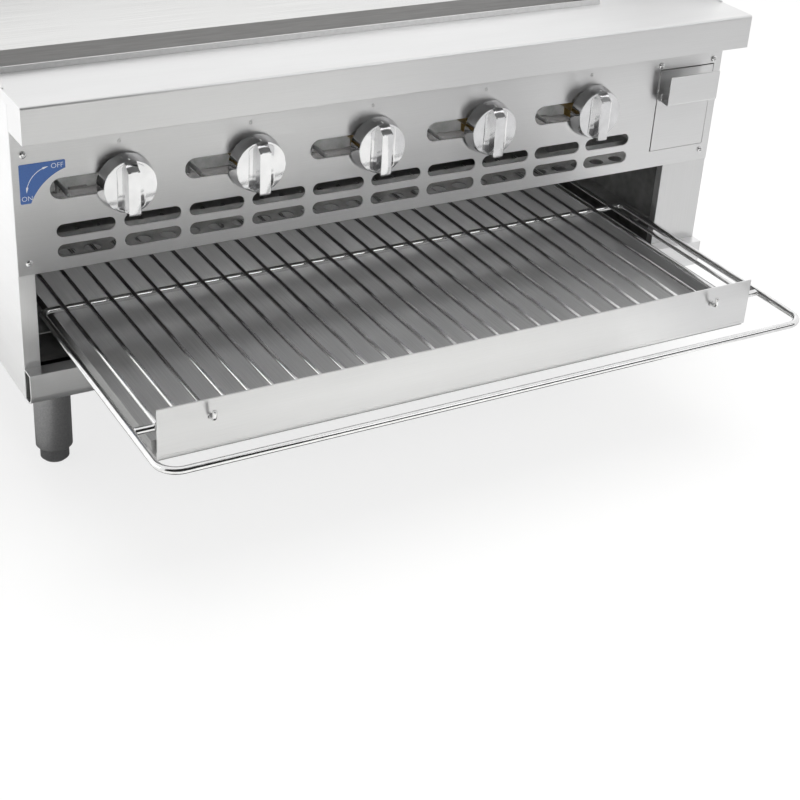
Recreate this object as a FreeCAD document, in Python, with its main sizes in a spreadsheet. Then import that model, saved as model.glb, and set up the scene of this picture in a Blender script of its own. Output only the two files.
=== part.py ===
import FreeCAD, Part
import math
import os
import Sketcher

# Raised griddle broiler: a gas griddle on legs, with a broiler opening and a slide-out rack below the plate.
# Millimetres. x runs along the front, y to the back, z up from the floor.
# Places along y are written from the front face of the control panel, and `centre_y` moves them
# so that the origin lies below the middle of the whole part with its rack pulled out.

doc = FreeCAD.newDocument("griddle_broiler")
sheet = doc.addObject("Spreadsheet::Sheet", "Sizes")
vector = FreeCAD.Vector


class Length:
    # A size from the sheet, or a sum of sizes: its number now and the expression that keeps it up to date.
    def __init__(self, number, text):
        self.number = number
        self.text = text

    def __add__(self, other):
        return combine(self, "+", other)

    def __radd__(self, other):
        return combine(other, "+", self)

    def __sub__(self, other):
        return combine(self, "-", other)

    def __rsub__(self, other):
        return combine(other, "-", self)

    def __mul__(self, other):
        return combine(self, "*", other)

    def __rmul__(self, other):
        return combine(other, "*", self)

    def __truediv__(self, other):
        return combine(self, "/", other)

    def __neg__(self):
        return combine(0, "-", self)


def length(value):
    return value if isinstance(value, Length) else Length(value, f"({value})")


def combine(left, sign, right):
    left = length(left)
    right = length(right)
    results = {
        "+": left.number + right.number,
        "-": left.number - right.number,
        "*": left.number * right.number,
        "/": left.number / right.number if right.number else 0,
    }
    return Length(results[sign], f"({left.text} {sign} {right.text})")


def size(name, number, note):
    row = len(sizes) + 1
    sheet.set(f"A{row}", name)
    sheet.set(f"B{row}", str(number))
    sheet.setAlias(f"B{row}", name)
    sheet.set(f"C{row}", note)
    sizes.append(name)
    return Length(number, f"Sizes.{name}")


sizes = []

# Whole body
body_width = size("body_width", 915, "over the side panels")
base_height = size("base_height", 104, "floor to the underside of the body")
panel_height = size("panel_height", 189.7, "height of the control panel")
rear_space = size("rear_space", 30, "griddle plate to the back face of the body")
metal = size("metal", 1.2, "body sheet thickness")
play = size("play", 0.3, "gap between pieces that slide or are laid loose")

# Legs
leg_inset = size("leg_inset", 39.5, "side of the body to a leg's centre")
leg_front = size("leg_front", 38, "panel front to a front leg's centre")
leg_width = size("leg_width", 42, "outside of a leg tube")
leg_bottom = size("leg_bottom", 16, "floor to the lower end of a leg tube")
leg_round = size("leg_round", 6, "rounding of a leg tube's lower edge")
leg_cap = size("leg_cap", 10, "solid top of a leg tube")
foot_width = size("foot_width", 33, "outside of a screw foot")
foot_height = size("foot_height", 56, "height of a screw foot")
foot_chamfer = size("foot_chamfer", 3, "bevel below a screw foot")
foot_fit = size("foot_fit", 0.05, "gap round a foot in its leg tube")

# Front frame
rail_height = size("rail_height", 38.5, "height of the rail below the opening")
rail_reach = size("rail_reach", 16.5, "how far the rail stands out")
rail_metal = size("rail_metal", 1.5, "rail and ledge sheet thickness")
rail_round = size("rail_round", 12, "rounding of the rail's lower front edge")
flange_width = size("flange_width", 25, "top flange of a side panel")
floor_flange = size("floor_flange", 62, "bottom flange of a side panel")
left_post_width = size("left_post_width", 18.1, "post left of the opening")
right_post_width = size("right_post_width", 68.5, "post right of the opening")
post_strip = size("post_strip", 9, "narrow upper part of the right post")
post_flange = size("post_flange", 12, "depth of a post's inner flange")
opening_height = size("opening_height", 111.8, "height of the broiler opening")

# Control panel
dial_pitch = size("dial_pitch", 150, "from one dial to the next")
dial_middle = size("dial_middle", -37.5, "x of the middle of the row of dials")
dial_drop = size("dial_drop", 99, "top of the side panels to the dials' axes")
dial_count = size("dial_count", 5, "number of dials and burners")
vent_length = size("vent_length", 65.4, "vent slot, end to end")
vent_height = size("vent_height", 15, "vent slot, top to bottom")
vent_offset = size("vent_offset", -43.6, "first vent's middle from the first dial")
upper_vent_drop = size("upper_vent_drop", 46.2, "dials' axes to the upper vents' middle")
lower_vent_drop = size("lower_vent_drop", 69.4, "dials' axes to the lower vents' middle")
slot_length = size("slot_length", 97, "pilot slot, end to end")
slot_height = size("slot_height", 23.5, "pilot slot, top to bottom")
slot_offset = size("slot_offset", -32.5, "pilot slot's middle from its dial")
slot_rise = size("slot_rise", 1.7, "pilot slot's middle above its dial")

# Ledge
ledge_rise = size("ledge_rise", 11.8, "top of the side panels to the top of the ledge")
ledge_reach = size("ledge_reach", 43.2, "how far the ledge stands out")
ledge_skirt = size("ledge_skirt", 40, "height of the ledge's front")
ledge_depth = size("ledge_depth", 58, "panel front to the ledge's back edge")
ledge_hem = size("ledge_hem", 9, "return fold under the ledge's front")
riser_height = size("riser_height", 6.4, "trough wall above the ledge")
deck_lead = size("deck_lead", 62.5, "where the flat deck beside the trough begins, from the drawer front")

# Griddle
plate_front = size("plate_front", 104, "panel front to the plate's front edge")
plate_depth = size("plate_depth", 516, "depth of the griddle plate")
plate_thickness = size("plate_thickness", 20, "thickness of the griddle plate")
splash_metal = size("splash_metal", 2, "splash guard sheet thickness")
splash_rise = size("splash_rise", 120, "top of the side panels to the top of the splash guards")
splash_start = size("splash_start", 14, "panel front to the side guards' foot")
splash_run = size("splash_run", 121, "depth of a side guard's slanted edge")
splash_round = size("splash_round", 9, "rounding of a side guard's upper corner")
splash_hem = size("splash_hem", 12, "fold along the back guard's top")
back_rise = size("back_rise", 96, "top of the side panels to the top of the back panel")

# Grease trough, chute and drawer
trough_drop = size("trough_drop", 34, "top of the side panels to the underside of the trough")
trough_lap = size("trough_lap", 3.5, "trough wall's place behind the plate's front edge")
drain_lead = size("drain_lead", 61.5, "drain slot's left end to the flat deck")
drain_length = size("drain_length", 50, "length of the drain slot")
drain_inset = size("drain_inset", 8, "drain slot to the trough's walls")
chute_drop = size("chute_drop", 16, "how far the chute falls")
chute_rise = size("chute_rise", 10, "height of the chute's walls")
chute_lip = size("chute_lip", 28, "how far the chute reaches over the drawer")
drawer_inset = size("drawer_inset", 11.5, "drawer front to the side of the body")
drawer_width = size("drawer_width", 82, "width of the drawer front")
drawer_drop = size("drawer_drop", 62, "top of the side panels to the drawer front's top")
drawer_height = size("drawer_height", 105, "height of the drawer front")
drawer_gap = size("drawer_gap", 1.5, "left gap round the drawer front")
drawer_gap_right = size("drawer_gap_right", 0.5, "other gaps round the drawer front")
box_inset = size("box_inset", 4.5, "drawer front's side to the box inside it")
box_lift = size("box_lift", 2.3, "drawer front's lower edge to the box's floor")
box_drop = size("box_drop", 3, "drawer front's top to the box's rim")
box_depth = size("box_depth", 190, "panel front to the box's back")
box_metal = size("box_metal", 1, "drawer box sheet thickness")
pull_height = size("pull_height", 36, "pull's lower fold to its rim")
pull_drop = size("pull_drop", 3, "drawer front's top to the pull's rim")
pull_reach = size("pull_reach", 18, "how far the pull stands out")
pull_margin = size("pull_margin", 3, "drawer front's side to the pull")
pull_slant = size("pull_slant", 3, "how much narrower the pull is where it leaves the front")
runner_width = size("runner_width", 15, "foot of a drawer runner")
runner_height = size("runner_height", 22, "height of a drawer runner")
runner_depth = size("runner_depth", 205, "panel front to a drawer runner's back")

# Dials
dial_width = size("dial_width", 65, "dial over its skirt")
face_width = size("face_width", 58.4, "dial's face")
dial_gap = size("dial_gap", 3.5, "panel to a dial")
dial_depth = size("dial_depth", 16, "skirt to face")
skirt_wall = size("skirt_wall", 2.2, "thickness of a dial's skirt")
face_wall = size("face_wall", 7.5, "thickness behind a dial's face")
hub_width = size("hub_width", 18, "hub behind a dial's face")
grip_width = size("grip_width", 13, "bar across a dial")
grip_rise = size("grip_rise", 11, "bar above the face")
grip_slant = size("grip_slant", 9, "slanted upper end of the bar")
grip_bevel = size("grip_bevel", 2.5, "bevel on the bar's lower end")
scoop_width = size("scoop_width", 9, "hollow beside the bar")
scoop_depth = size("scoop_depth", 4.5, "depth of that hollow")

# Gas
pipe_width = size("pipe_width", 26.7, "gas pipe outside")
pipe_wall = size("pipe_wall", 2.9, "gas pipe wall")
pipe_drop = size("pipe_drop", 33.5, "dials' axes to the gas pipes' axes")
manifold_place = size("manifold_place", 42, "panel front to the manifold's axis")
manifold_gap = size("manifold_gap", 64, "manifold's right end to the drawer front")
inlet_inset = size("inlet_inset", 19.5, "side of the body to the inlet pipe's axis")
inlet_reach = size("inlet_reach", 30, "inlet pipe beyond the back panel")
inlet_gap = size("inlet_gap", 0.4, "gap round the inlet pipe in the back panel")
thread_width = size("thread_width", 26.2, "threaded end of the inlet pipe")
thread_length = size("thread_length", 20, "length of that thread")
valve_width = size("valve_width", 26, "valve body")
valve_front = size("valve_front", 20, "panel front to the valve body")
valve_depth = size("valve_depth", 42, "depth of the valve body")
hood_width = size("hood_width", 15, "brass hood of a valve")
hood_depth = size("hood_depth", 22, "length of that hood")
stem_width = size("stem_width", 8, "valve stem")
stem_fit = size("stem_fit", 0.05, "gap round a stem")
stem_depth = size("stem_depth", 12, "stem inside the valve body")
burner_width = size("burner_width", 35, "burner tube outside")
burner_wall = size("burner_wall", 1.5, "burner tube wall")
burner_front = size("burner_front", 86, "panel front to a burner's mouth")
burner_space = size("burner_space", 90, "burner's end to the back face of the body")
front_bearer = size("front_bearer", 75, "panel front to the front burner rail")
bearer_depth = size("bearer_depth", 30, "foot of a burner rail")
bearer_height = size("bearer_height", 27, "height of a burner rail")
bearer_notch = size("bearer_notch", 36, "notch for the inlet pipe")
bearer_lip = size("bearer_lip", 1.5, "what the notch leaves of a burner rail's top")
bracket_width = size("bracket_width", 20, "manifold bracket")
bracket_inset = size("bracket_inset", 60, "manifold's end to its bracket")
pilot_width = size("pilot_width", 5, "pilot tube")
pilot_offset = size("pilot_offset", -58, "pilot tube from its dial")
pilot_rise = size("pilot_rise", 38, "manifold axis to the pilot tube's top")
pilot_reach = size("pilot_reach", 70, "length of the pilot tube's top")

# Baffle
baffle_rise = size("baffle_rise", 7.7, "opening's top to the top of the perforated baffle")
baffle_depth = size("baffle_depth", 75, "panel front to the baffle's back")
baffle_hole = size("baffle_hole", 18, "hole in the baffle")
baffle_pitch = size("baffle_pitch", 29, "from one hole to the next")
baffle_margin = size("baffle_margin", 6, "least distance from the side of the baffle to a hole")
baffle_first_row = size("baffle_first_row", 26, "panel front to the first row of holes")
baffle_row_gap = size("baffle_row_gap", 25, "between the rows of holes")

# Broiler cavity
cavity_space = size("cavity_space", 90, "back liner to the back face of the body")
liner_rise = size("liner_rise", 21.7, "opening's top to the top of the liners")
shelf_rise = size("shelf_rise", 34.2, "opening's foot to the shelves that carry the rack")
shelf_width = size("shelf_width", 26, "width of a rack shelf")
ledger_width = size("ledger_width", 56, "width of a tray shelf")

# Rack
rack_gap = size("rack_gap", 14.2, "side of the opening to the outer rail")
rack_pull = size("rack_pull", 229, "how far the rack is pulled out")
rack_proud = size("rack_proud", 84, "handle in front of the panel with the rack in")
rail_width = size("rail_width", 8, "rail and cross rods")
cross_width = size("cross_width", 7, "rear cross rod")
rail_corner = size("rail_corner", 22, "bend of the outer rail")
loop_corner = size("loop_corner", 12, "bend of the inner loop")
wire_width = size("wire_width", 5, "rack wire")
wire_pitch = size("wire_pitch", 27.5, "from one wire to the next")
wire_margin = size("wire_margin", 28, "least distance from the rack's side to a wire's axis")
wire_sink = size("wire_sink", 1, "how deep a wire is welded into the rods")
loop_front = size("loop_front", 3, "front cross rod, rack in")
loop_back = size("loop_back", 279, "middle cross rod, rack in")
rack_space = size("rack_space", 94, "rear cross rod to the back liner, rack in")
hook_wire = size("hook_wire", 3, "which wire from each side ends in a hook")
hook_reach = size("hook_reach", 10, "hook in front of the rack's plate")
hook_bend = size("hook_bend", 5, "bend of a hook")
hook_rise = size("hook_rise", 6, "straight end of a hook")
hook_play = size("hook_play", 0.8, "gap round a hook in the plate")
face_plate_back = size("face_plate_back", 5.5, "back of the rack's plate before the panel, rack in")
face_plate_metal = size("face_plate_metal", 1.5, "thickness of the rack's plate")
face_plate_gap = size("face_plate_gap", 40.7, "side of the opening to the rack's plate")
face_plate_lift = size("face_plate_lift", 6.5, "opening's foot to the plate's lower edge")
face_plate_height = size("face_plate_height", 57, "height of the rack's plate")
face_plate_hem = size("face_plate_hem", 7, "fold along the plate's lower edge")

# Tray
tray_gap = size("tray_gap", 37.2, "side of the opening to the drip tray")
tray_space = size("tray_space", 101, "drip tray to the back liner, rack in")
tray_wall = size("tray_wall", 25, "height of the drip tray")

# Small parts
screw_width = size("screw_width", 8, "screw head")
screw_rise = size("screw_rise", 2.2, "height of a screw head")
screw_rim = size("screw_rim", 0.8, "straight edge of a screw head")
screw_flat = size("screw_flat", 4, "flat top of a screw head")
screw_inset = size("screw_inset", 12.5, "side of the body to the screws")
upper_screw_rise = size("upper_screw_rise", 7, "drawer front's top to the upper screws")
lower_screw_drop = size("lower_screw_drop", 9, "drawer front's foot to the lower screws")
drawer_screw = size("drawer_screw", 1, "left edge of the drawer front to the screw above it")
label_left = size("label_left", 7.5, "side of the body to the printed label")
label_width = size("label_width", 49.2, "label's upper edge")
label_foot = size("label_foot", 10.6, "label's lower edge")
label_drop = size("label_drop", 9.8, "dials' axes to the label's lower edge")
label_height = size("label_height", 43.4, "height of the label")
label_edge = size("label_edge", 8.6, "height of the label's right end")
label_waist = size("label_waist", 22, "x from the label's left to the middle of its curve")
label_waist_rise = size("label_waist_rise", 15.6, "height of the middle of its curve")
label_metal = size("label_metal", 0.2, "thickness of the label")

# Places that follow from the sizes
side = body_width / 2
inner_side = side - metal
opening_bottom = base_height + rail_height
opening_top = opening_bottom + opening_height
opening_left = left_post_width - side
opening_right = side - right_post_width
opening_middle = (opening_left + opening_right) / 2
opening_half = (opening_right - opening_left) / 2
body_top = opening_top + panel_height
body_depth = plate_front + plate_depth + rear_space
ledge_top = body_top + ledge_rise
splash_height = body_top + splash_rise
back_height = body_top + back_rise
dial_height = body_top - dial_drop
first_dial = dial_middle - (dial_count - 1) * dial_pitch / 2
upper_vent = dial_height - upper_vent_drop
lower_vent = dial_height - lower_vent_drop
pipe_height = dial_height - pipe_drop
drawer_left = side - drawer_inset - drawer_width
drawer_right = drawer_left + drawer_width
drawer_top = body_top - drawer_drop
drawer_bottom = drawer_top - drawer_height
pull_top = drawer_top - pull_drop
pull_bottom = pull_top - pull_height
deck_start = drawer_left - deck_lead
drain_start = deck_start - drain_lead
manifold_end = drawer_left - manifold_gap
trough_floor = body_top - trough_drop
trough_back = plate_front + trough_lap
burner_back = body_depth - burner_space
cavity_back = body_depth - cavity_space
baffle_top = opening_top + baffle_rise
liner_top = opening_top + liner_rise
shelf_height = opening_bottom + shelf_rise
rack_width = 2 * (opening_half - rack_gap)
rack_back = cavity_back - rack_space
face_plate_half = opening_half - face_plate_gap
face_plate_bottom = opening_bottom + face_plate_lift
face_plate_top = face_plate_bottom + face_plate_height
tray_half = opening_half - tray_gap
tray_depth = cavity_back - tray_space
rack_out = rack_pull + rack_proud
centre_y = (rack_out - body_depth - inlet_reach) / 2


# Solids


def bind(thing, **values):
    for name, value in values.items():
        if isinstance(value, Length):
            thing.setExpression(name, value.text)
        else:
            setattr(thing, name, value)


def place(thing, x, y, z):
    for axis, value in (("x", x), ("y", y + centre_y), ("z", z)):
        thing.setExpression(f"Placement.Base.{axis}", length(value).text)


def box(x0, x1, y0, y1, z0, z1):
    solid = doc.addObject("Part::Box", "Block")
    bind(solid, Length=x1 - x0, Width=y1 - y0, Height=z1 - z0)
    place(solid, x0, y0, z0)
    return solid


def span(start, run, sign):
    # Where a stretch from `start` lies, running up the axis or down it.
    return (start, start + run) if sign > 0 else (start - run, start)


turns = {
    "x": FreeCAD.Rotation(vector(0, 1, 0), 90),
    "y": FreeCAD.Rotation(vector(1, 0, 0), -90),
    "z": FreeCAD.Rotation(),
}


def rod(axis, x, y, z, width, run):
    solid = doc.addObject("Part::Cylinder", "Rod")
    solid.Placement = FreeCAD.Placement(vector(), turns[axis])
    bind(solid, Radius=width / 2, Height=run)
    place(solid, x, y, z)
    return solid


def cone(axis, x, y, z, width, end_width, run):
    solid = doc.addObject("Part::Cone", "Taper")
    solid.Placement = FreeCAD.Placement(vector(), turns[axis])
    bind(solid, Radius1=width / 2, Radius2=end_width / 2, Height=run)
    place(solid, x, y, z)
    return solid


def ball(x, y, z, width):
    solid = doc.addObject("Part::Sphere", "Ball")
    bind(solid, Radius=width / 2)
    place(solid, x, y, z)
    return solid


def bend(x, y, z, start, radius, width, tilt=None):
    # A quarter of a bent rod round (x, y, z), from the angle `start`, lying flat unless `tilt` turns it.
    solid = doc.addObject("Part::Torus", "Bend")
    rotation = FreeCAD.Rotation(vector(0, 0, 1), start)
    if tilt:
        rotation = tilt.multiply(rotation)
    solid.Placement = FreeCAD.Placement(vector(), rotation)
    bind(solid, Radius1=radius, Radius2=width / 2, Angle3=90)
    place(solid, x, y, z)
    return solid


def joined(*pieces):
    solid = doc.addObject("Part::MultiFuse", "Joined")
    solid.Shapes = list(pieces)
    solid.Refine = True
    return solid


def less(base, *tools):
    solid = doc.addObject("Part::Cut", "Cut")
    solid.Base = base
    solid.Tool = joined(*tools) if len(tools) > 1 else tools[0]
    return solid


def together(*pieces):
    group = doc.addObject("Part::Compound", "Group")
    group.Links = list(pieces)
    return group


# Sketched bodies


def origin_of(body, role):
    return next(thing for thing in body.Origin.OriginFeatures if thing.Role == role)


def new_sketch(body, plane):
    sketch = body.newObject("Sketcher::SketchObject", "Sketch")
    sketch.AttachmentSupport = [(origin_of(body, plane), "")]
    sketch.MapMode = "FlatFace"
    return sketch


def fix(sketch, kind, part, end, value):
    # Ties a point's distance from the origin to a value, or sets it on the axis where the value is nought.
    if not isinstance(value, Length) and value == 0:
        axis = -2 if kind == "DistanceX" else -1
        sketch.addConstraint(Sketcher.Constraint("PointOnObject", part, end, axis))
        return
    value = length(value)
    number = sketch.addConstraint(Sketcher.Constraint(kind, -1, 1, part, end, value.number))
    tie(sketch, number, value)


def tie(sketch, number, value):
    sketch.renameConstraint(number, f"size{number}")
    sketch.setExpression(f"Constraints.size{number}", value.text)


def polygon(sketch, points):
    first = sketch.GeometryCount
    spots = [vector(length(u).number, length(v).number, 0) for u, v in points]
    ends = spots[1:] + spots[:1]
    for start, end in zip(spots, ends):
        sketch.addGeometry(Part.LineSegment(start, end), False)
    for index, (u, v) in enumerate(points):
        following = first + (index + 1) % len(points)
        sketch.addConstraint(Sketcher.Constraint("Coincident", first + index, 2, following, 1))
        fix(sketch, "DistanceX", first + index, 1, u)
        fix(sketch, "DistanceY", first + index, 1, v)


def stadium(sketch, u, v, run, height):
    # A slot with round ends: two lines and two half circles round the points (u -/+ half, v).
    first = sketch.GeometryCount
    u, v, run, height = (length(value) for value in (u, v, run, height))
    half = (run - height) / 2
    radius = height.number / 2
    left = vector((u - half).number, v.number, 0)
    right = vector((u + half).number, v.number, 0)
    up = vector(0, radius, 0)
    sketch.addGeometry(Part.LineSegment(left + up, right + up), False)
    sketch.addGeometry(Part.LineSegment(right - up, left - up), False)
    normal = vector(0, 0, 1)
    quarter = math.pi / 2
    sketch.addGeometry(Part.ArcOfCircle(Part.Circle(right, normal, radius), -quarter, quarter), False)
    sketch.addGeometry(Part.ArcOfCircle(Part.Circle(left, normal, radius), quarter, 3 * quarter), False)
    top, bottom, right_arc, left_arc = range(first, first + 4)
    for line, end, arc, arc_end in (
        (top, 2, right_arc, 2),
        (bottom, 1, right_arc, 1),
        (bottom, 2, left_arc, 2),
        (top, 1, left_arc, 1),
    ):
        sketch.addConstraint(Sketcher.Constraint("Tangent", line, end, arc, arc_end))
    fix(sketch, "DistanceX", left_arc, 3, u - half)
    fix(sketch, "DistanceY", left_arc, 3, v)
    fix(sketch, "DistanceX", right_arc, 3, u + half)
    fix(sketch, "DistanceY", right_arc, 3, v)
    tie(sketch, sketch.addConstraint(Sketcher.Constraint("Radius", right_arc, radius)), height / 2)


def round_edges(body, pad, plane, points, rounds):
    # Rounds the edges that stand on the chosen corners of the outline.
    for corner, radius in rounds.items():
        doc.recompute()
        spot = [length(value).number for value in points[corner]]
        names = []
        for index, edge in enumerate(pad.Shape.Edges, 1):
            ends = [on_plane(vertex.Point, plane) for vertex in edge.Vertexes]
            if len(ends) == 2 and all(math.dist(end, spot) < 1e-4 for end in ends):
                names.append(f"Edge{index}")
        fillet = body.newObject("PartDesign::Fillet", "Round")
        fillet.Base = (pad, names)
        bind(fillet, Radius=radius)
        pad = fillet


def on_plane(point, plane):
    return {"XY": (point.x, point.y), "XZ": (point.x, point.z), "YZ": (point.y, point.z)}[plane]


def plate(plane, points, start, run, rounds=None):
    # A flat or folded sheet: its outline on one plane, padded by `run` from `start` across that plane.
    # On XZ the outline is (x, z) and it is padded along y, on YZ it is (y, z) and along x,
    # and on XY it is (x, y) and along z.
    body = doc.addObject("PartDesign::Body", "Body")
    sketch = new_sketch(body, f"{plane}_Plane")
    polygon(sketch, points)
    pad = body.newObject("PartDesign::Pad", "Pad")
    pad.Profile = sketch
    bind(pad, Length=run)
    pad.Reversed = plane == "XZ"
    if plane == "XZ":
        place(body, 0, start, 0)
    elif plane == "YZ":
        place(body, start, 0, 0)
    else:
        place(body, 0, 0, start)
    if rounds:
        round_edges(body, pad, plane, points, rounds)
    return body


def turned(axis, points, x, y, z):
    # A round piece: (along, radius) points turned about an axis through (x, y, z).
    body = doc.addObject("PartDesign::Body", "Body")
    sketch = new_sketch(body, "XZ_Plane" if axis == "z" else "YZ_Plane")
    polygon(sketch, [(radius, along) if axis == "z" else (along, radius) for along, radius in points])
    turn = body.newObject("PartDesign::Revolution", "Turn")
    turn.Profile = sketch
    turn.ReferenceAxis = (origin_of(body, "Z_Axis" if axis == "z" else "Y_Axis"), [""])
    turn.Angle = 360
    place(body, x, y, z)
    return body


def cut_through(body, sketch, depth, reverse):
    # A pocket, whose direction is proved by the volume that it takes away.
    doc.recompute()
    before = body.Shape.Volume
    pocket = body.newObject("PartDesign::Pocket", "Pocket")
    pocket.Profile = sketch
    pocket.Reversed = reverse
    bind(pocket, Length=depth)
    doc.recompute()
    if body.Shape.Volume >= before:
        raise RuntimeError("a pocket took nothing away")
    return pocket


def repeat(body, feature, pitch, count):
    # A row of copies along x.
    row = body.newObject("PartDesign::LinearPattern", "Row")
    row.Originals = [feature]
    row.Direction = (origin_of(body, "X_Axis"), [""])
    row.Mode = "Spacing"
    bind(row, Offset=pitch, Occurrences=count)
    body.Tip = row
    return row


def fitting(room, margin, pitch):
    # How many copies at that pitch fit between two margins.
    return int((room - 2 * margin).number / pitch.number) + 1


def node(label, solid):
    solid.Label = label
    nodes.append(solid)
    return solid


nodes = []


# Body shell: side panels, back, base pan and front frame


def side_panel(sign):
    outer = side * sign
    inner = inner_side * sign
    floor_edge = (side - floor_flange) * sign
    top_edge = (side - flange_width) * sign
    points = [
        (outer, base_height),
        (floor_edge, base_height),
        (floor_edge, base_height + metal),
        (inner, base_height + metal),
        (inner, body_top - metal),
        (top_edge, body_top - metal),
        (top_edge, body_top),
        (outer, body_top),
    ]
    panel = plate("XZ", points, 2 * metal, body_depth - 3 * metal)
    # The top flange starts behind the trough.
    across = span(inner_side * sign, flange_width, -sign)
    notch = box(*across, metal, trough_back + play, body_top - 2 * metal, body_top + metal)
    return less(panel, notch)


node("left_side_panel", side_panel(-1))
node("right_side_panel", side_panel(1))

inlet_x = inlet_inset - side
back_sheet = box(-side, side, body_depth - metal, body_depth, base_height, back_height)
pipe_hole = rod("y", inlet_x, body_depth - 2 * metal, pipe_height, pipe_width + 2 * inlet_gap, 3 * metal)
node("back_panel", less(back_sheet, pipe_hole))

pan_bottom = base_height + metal + play
pan_top = pan_bottom + metal
sill_back = 3 * metal
pan = [
    (2 * metal, pan_bottom),
    (body_depth - metal, pan_bottom),
    (body_depth - metal, pan_top),
    (sill_back, pan_top),
    (sill_back, opening_bottom - play),
    (2 * metal, opening_bottom - play),
]
node("base_pan", plate("YZ", pan, -inner_side, 2 * inner_side))

rail = [
    (2 * metal, base_height),
    (-rail_reach, base_height),
    (-rail_reach, opening_bottom),
    (2 * metal, opening_bottom),
    (2 * metal, opening_bottom - rail_metal),
    (rail_metal - rail_reach, opening_bottom - rail_metal),
    (rail_metal - rail_reach, base_height + rail_metal),
    (2 * metal, base_height + rail_metal),
]
rail_bends = {6: rail_round - rail_metal, 1: rail_round}
node("front_base_rail", plate("YZ", rail, -side, body_width, rail_bends))

post_top = body_top - metal
left_post_sheet = box(-side, opening_left, metal, 2 * metal, opening_bottom, post_top)
left_post_flange = box(
    opening_left - metal, opening_left, metal, post_flange, opening_bottom, opening_top - play
)
node("left_front_post", joined(left_post_sheet, left_post_flange))

drawer_cut_bottom = drawer_bottom - drawer_gap_right
step_height = drawer_cut_bottom - drawer_gap
right_post = [
    (opening_right, opening_bottom),
    (side, opening_bottom),
    (side, post_top),
    (side - post_strip, post_top),
    (side - post_strip, step_height),
    (opening_right, step_height),
]
right_post_sheet = plate("XZ", right_post, metal, metal)
right_post_flange = box(
    opening_right, opening_right + metal, metal, post_flange, opening_bottom, opening_top - play
)
node("right_front_post", joined(right_post_sheet, right_post_flange))


# Control panel with its vents, pilot slots and the drawer's cut-out


def control_panel():
    body = plate(
        "XZ",
        [(-side, opening_top), (side, opening_top), (side, body_top), (-side, body_top)],
        0,
        metal,
    )
    vents = new_sketch(body, "XZ_Plane")
    for height in (upper_vent, lower_vent):
        stadium(vents, first_dial + vent_offset, height, vent_length, vent_height)
    repeat(body, cut_through(body, vents, 2 * metal, False), dial_pitch / 2, 2 * dial_count)
    slots = new_sketch(body, "XZ_Plane")
    stadium(slots, first_dial + slot_offset, dial_height + slot_rise, slot_length, slot_height)
    repeat(body, cut_through(body, slots, 2 * metal, False), dial_pitch, dial_count)
    doorway = new_sketch(body, "XZ_Plane")
    left = drawer_left - drawer_gap
    right = drawer_right + drawer_gap_right
    top = drawer_top + drawer_gap
    polygon(
        doorway,
        [(left, drawer_cut_bottom), (right, drawer_cut_bottom), (right, top), (left, top)],
    )
    cut_through(body, doorway, 2 * metal, False)
    return body


node("control_panel", control_panel())


# Front ledge: a folded sheet with closed ends, and the flat deck beside the trough


def ledge_end(start):
    under = ledge_top - rail_metal
    skirt_bottom = ledge_top - ledge_skirt
    points = [
        (rail_metal - ledge_reach, skirt_bottom),
        (0, skirt_bottom),
        (0, body_top),
        (ledge_depth, body_top),
        (ledge_depth, under),
        (rail_metal - ledge_reach, under),
    ]
    return plate("YZ", points, start, rail_metal)


def ledge():
    skirt_bottom = ledge_top - ledge_skirt
    points = [
        (-ledge_reach, skirt_bottom),
        (-ledge_reach, ledge_top),
        (ledge_depth, ledge_top),
        (ledge_depth, ledge_top - rail_metal),
        (rail_metal - ledge_reach, ledge_top - rail_metal),
        (rail_metal - ledge_reach, skirt_bottom + rail_metal),
        (ledge_hem - ledge_reach, skirt_bottom + rail_metal),
        (ledge_hem - ledge_reach, skirt_bottom),
    ]
    fold = plate("YZ", points, -side, body_width, {4: rail_metal, 1: 2 * rail_metal})
    deck = box(
        deck_start, side, ledge_depth, plate_front - play, ledge_top - rail_metal, ledge_top
    )
    return joined(fold, ledge_end(-side), ledge_end(side - rail_metal), deck)


node("front_ledge", ledge())


# Griddle plate and its guards

plate_back = plate_front + plate_depth
plate_side = side - splash_metal - play
griddle = box(
    -plate_side, plate_side, plate_front, plate_back, body_top, body_top + plate_thickness
)
node("griddle_plate", griddle)


def side_splash(start, foot_back):
    # A guard that stands on the ledge as far as foot_back and on the side panel behind it.
    foot = ledge_top + play
    points = [
        (splash_start, foot),
        (foot_back, foot),
        (foot_back, body_top + play),
        (body_depth - metal - play, body_top + play),
        (body_depth - metal - play, splash_height),
        (splash_start + splash_run, splash_height),
    ]
    return plate("YZ", points, start, splash_metal, {5: splash_round})


node("left_splash", side_splash(-side, ledge_depth + play))
node("right_splash", side_splash(side - splash_metal, plate_front))

guard = [
    (plate_back + play, body_top),
    (plate_back + play + splash_metal, body_top),
    (plate_back + play + splash_metal, splash_height - splash_metal),
    (plate_back + splash_hem, splash_height - splash_metal),
    (plate_back + splash_hem, splash_height),
    (plate_back + play, splash_height),
]
node("back_splash", plate("YZ", guard, -plate_side, 2 * plate_side))


# Grease trough, chute and drawer

trough_left = -plate_side
drain_end = drain_start + drain_length


def trough():
    start = ledge_depth + play
    points = [
        (start, trough_floor),
        (trough_back, trough_floor),
        (trough_back, body_top - play),
        (trough_back - metal, body_top - play),
        (trough_back - metal, trough_floor + metal),
        (start + metal, trough_floor + metal),
        (start + metal, ledge_top + riser_height),
        (start, ledge_top + riser_height),
    ]
    run = deck_start - play - trough_left
    channel = plate("YZ", points, trough_left, run)
    ends = [
        box(x, x + metal, start, trough_back, trough_floor, body_top - metal - play)
        for x in (trough_left, trough_left + run - metal)
    ]
    slot = box(
        drain_start,
        drain_end,
        start + drain_inset,
        trough_back - drain_inset,
        trough_floor - metal,
        trough_floor + 2 * metal,
    )
    return less(joined(channel, *ends), slot)


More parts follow.
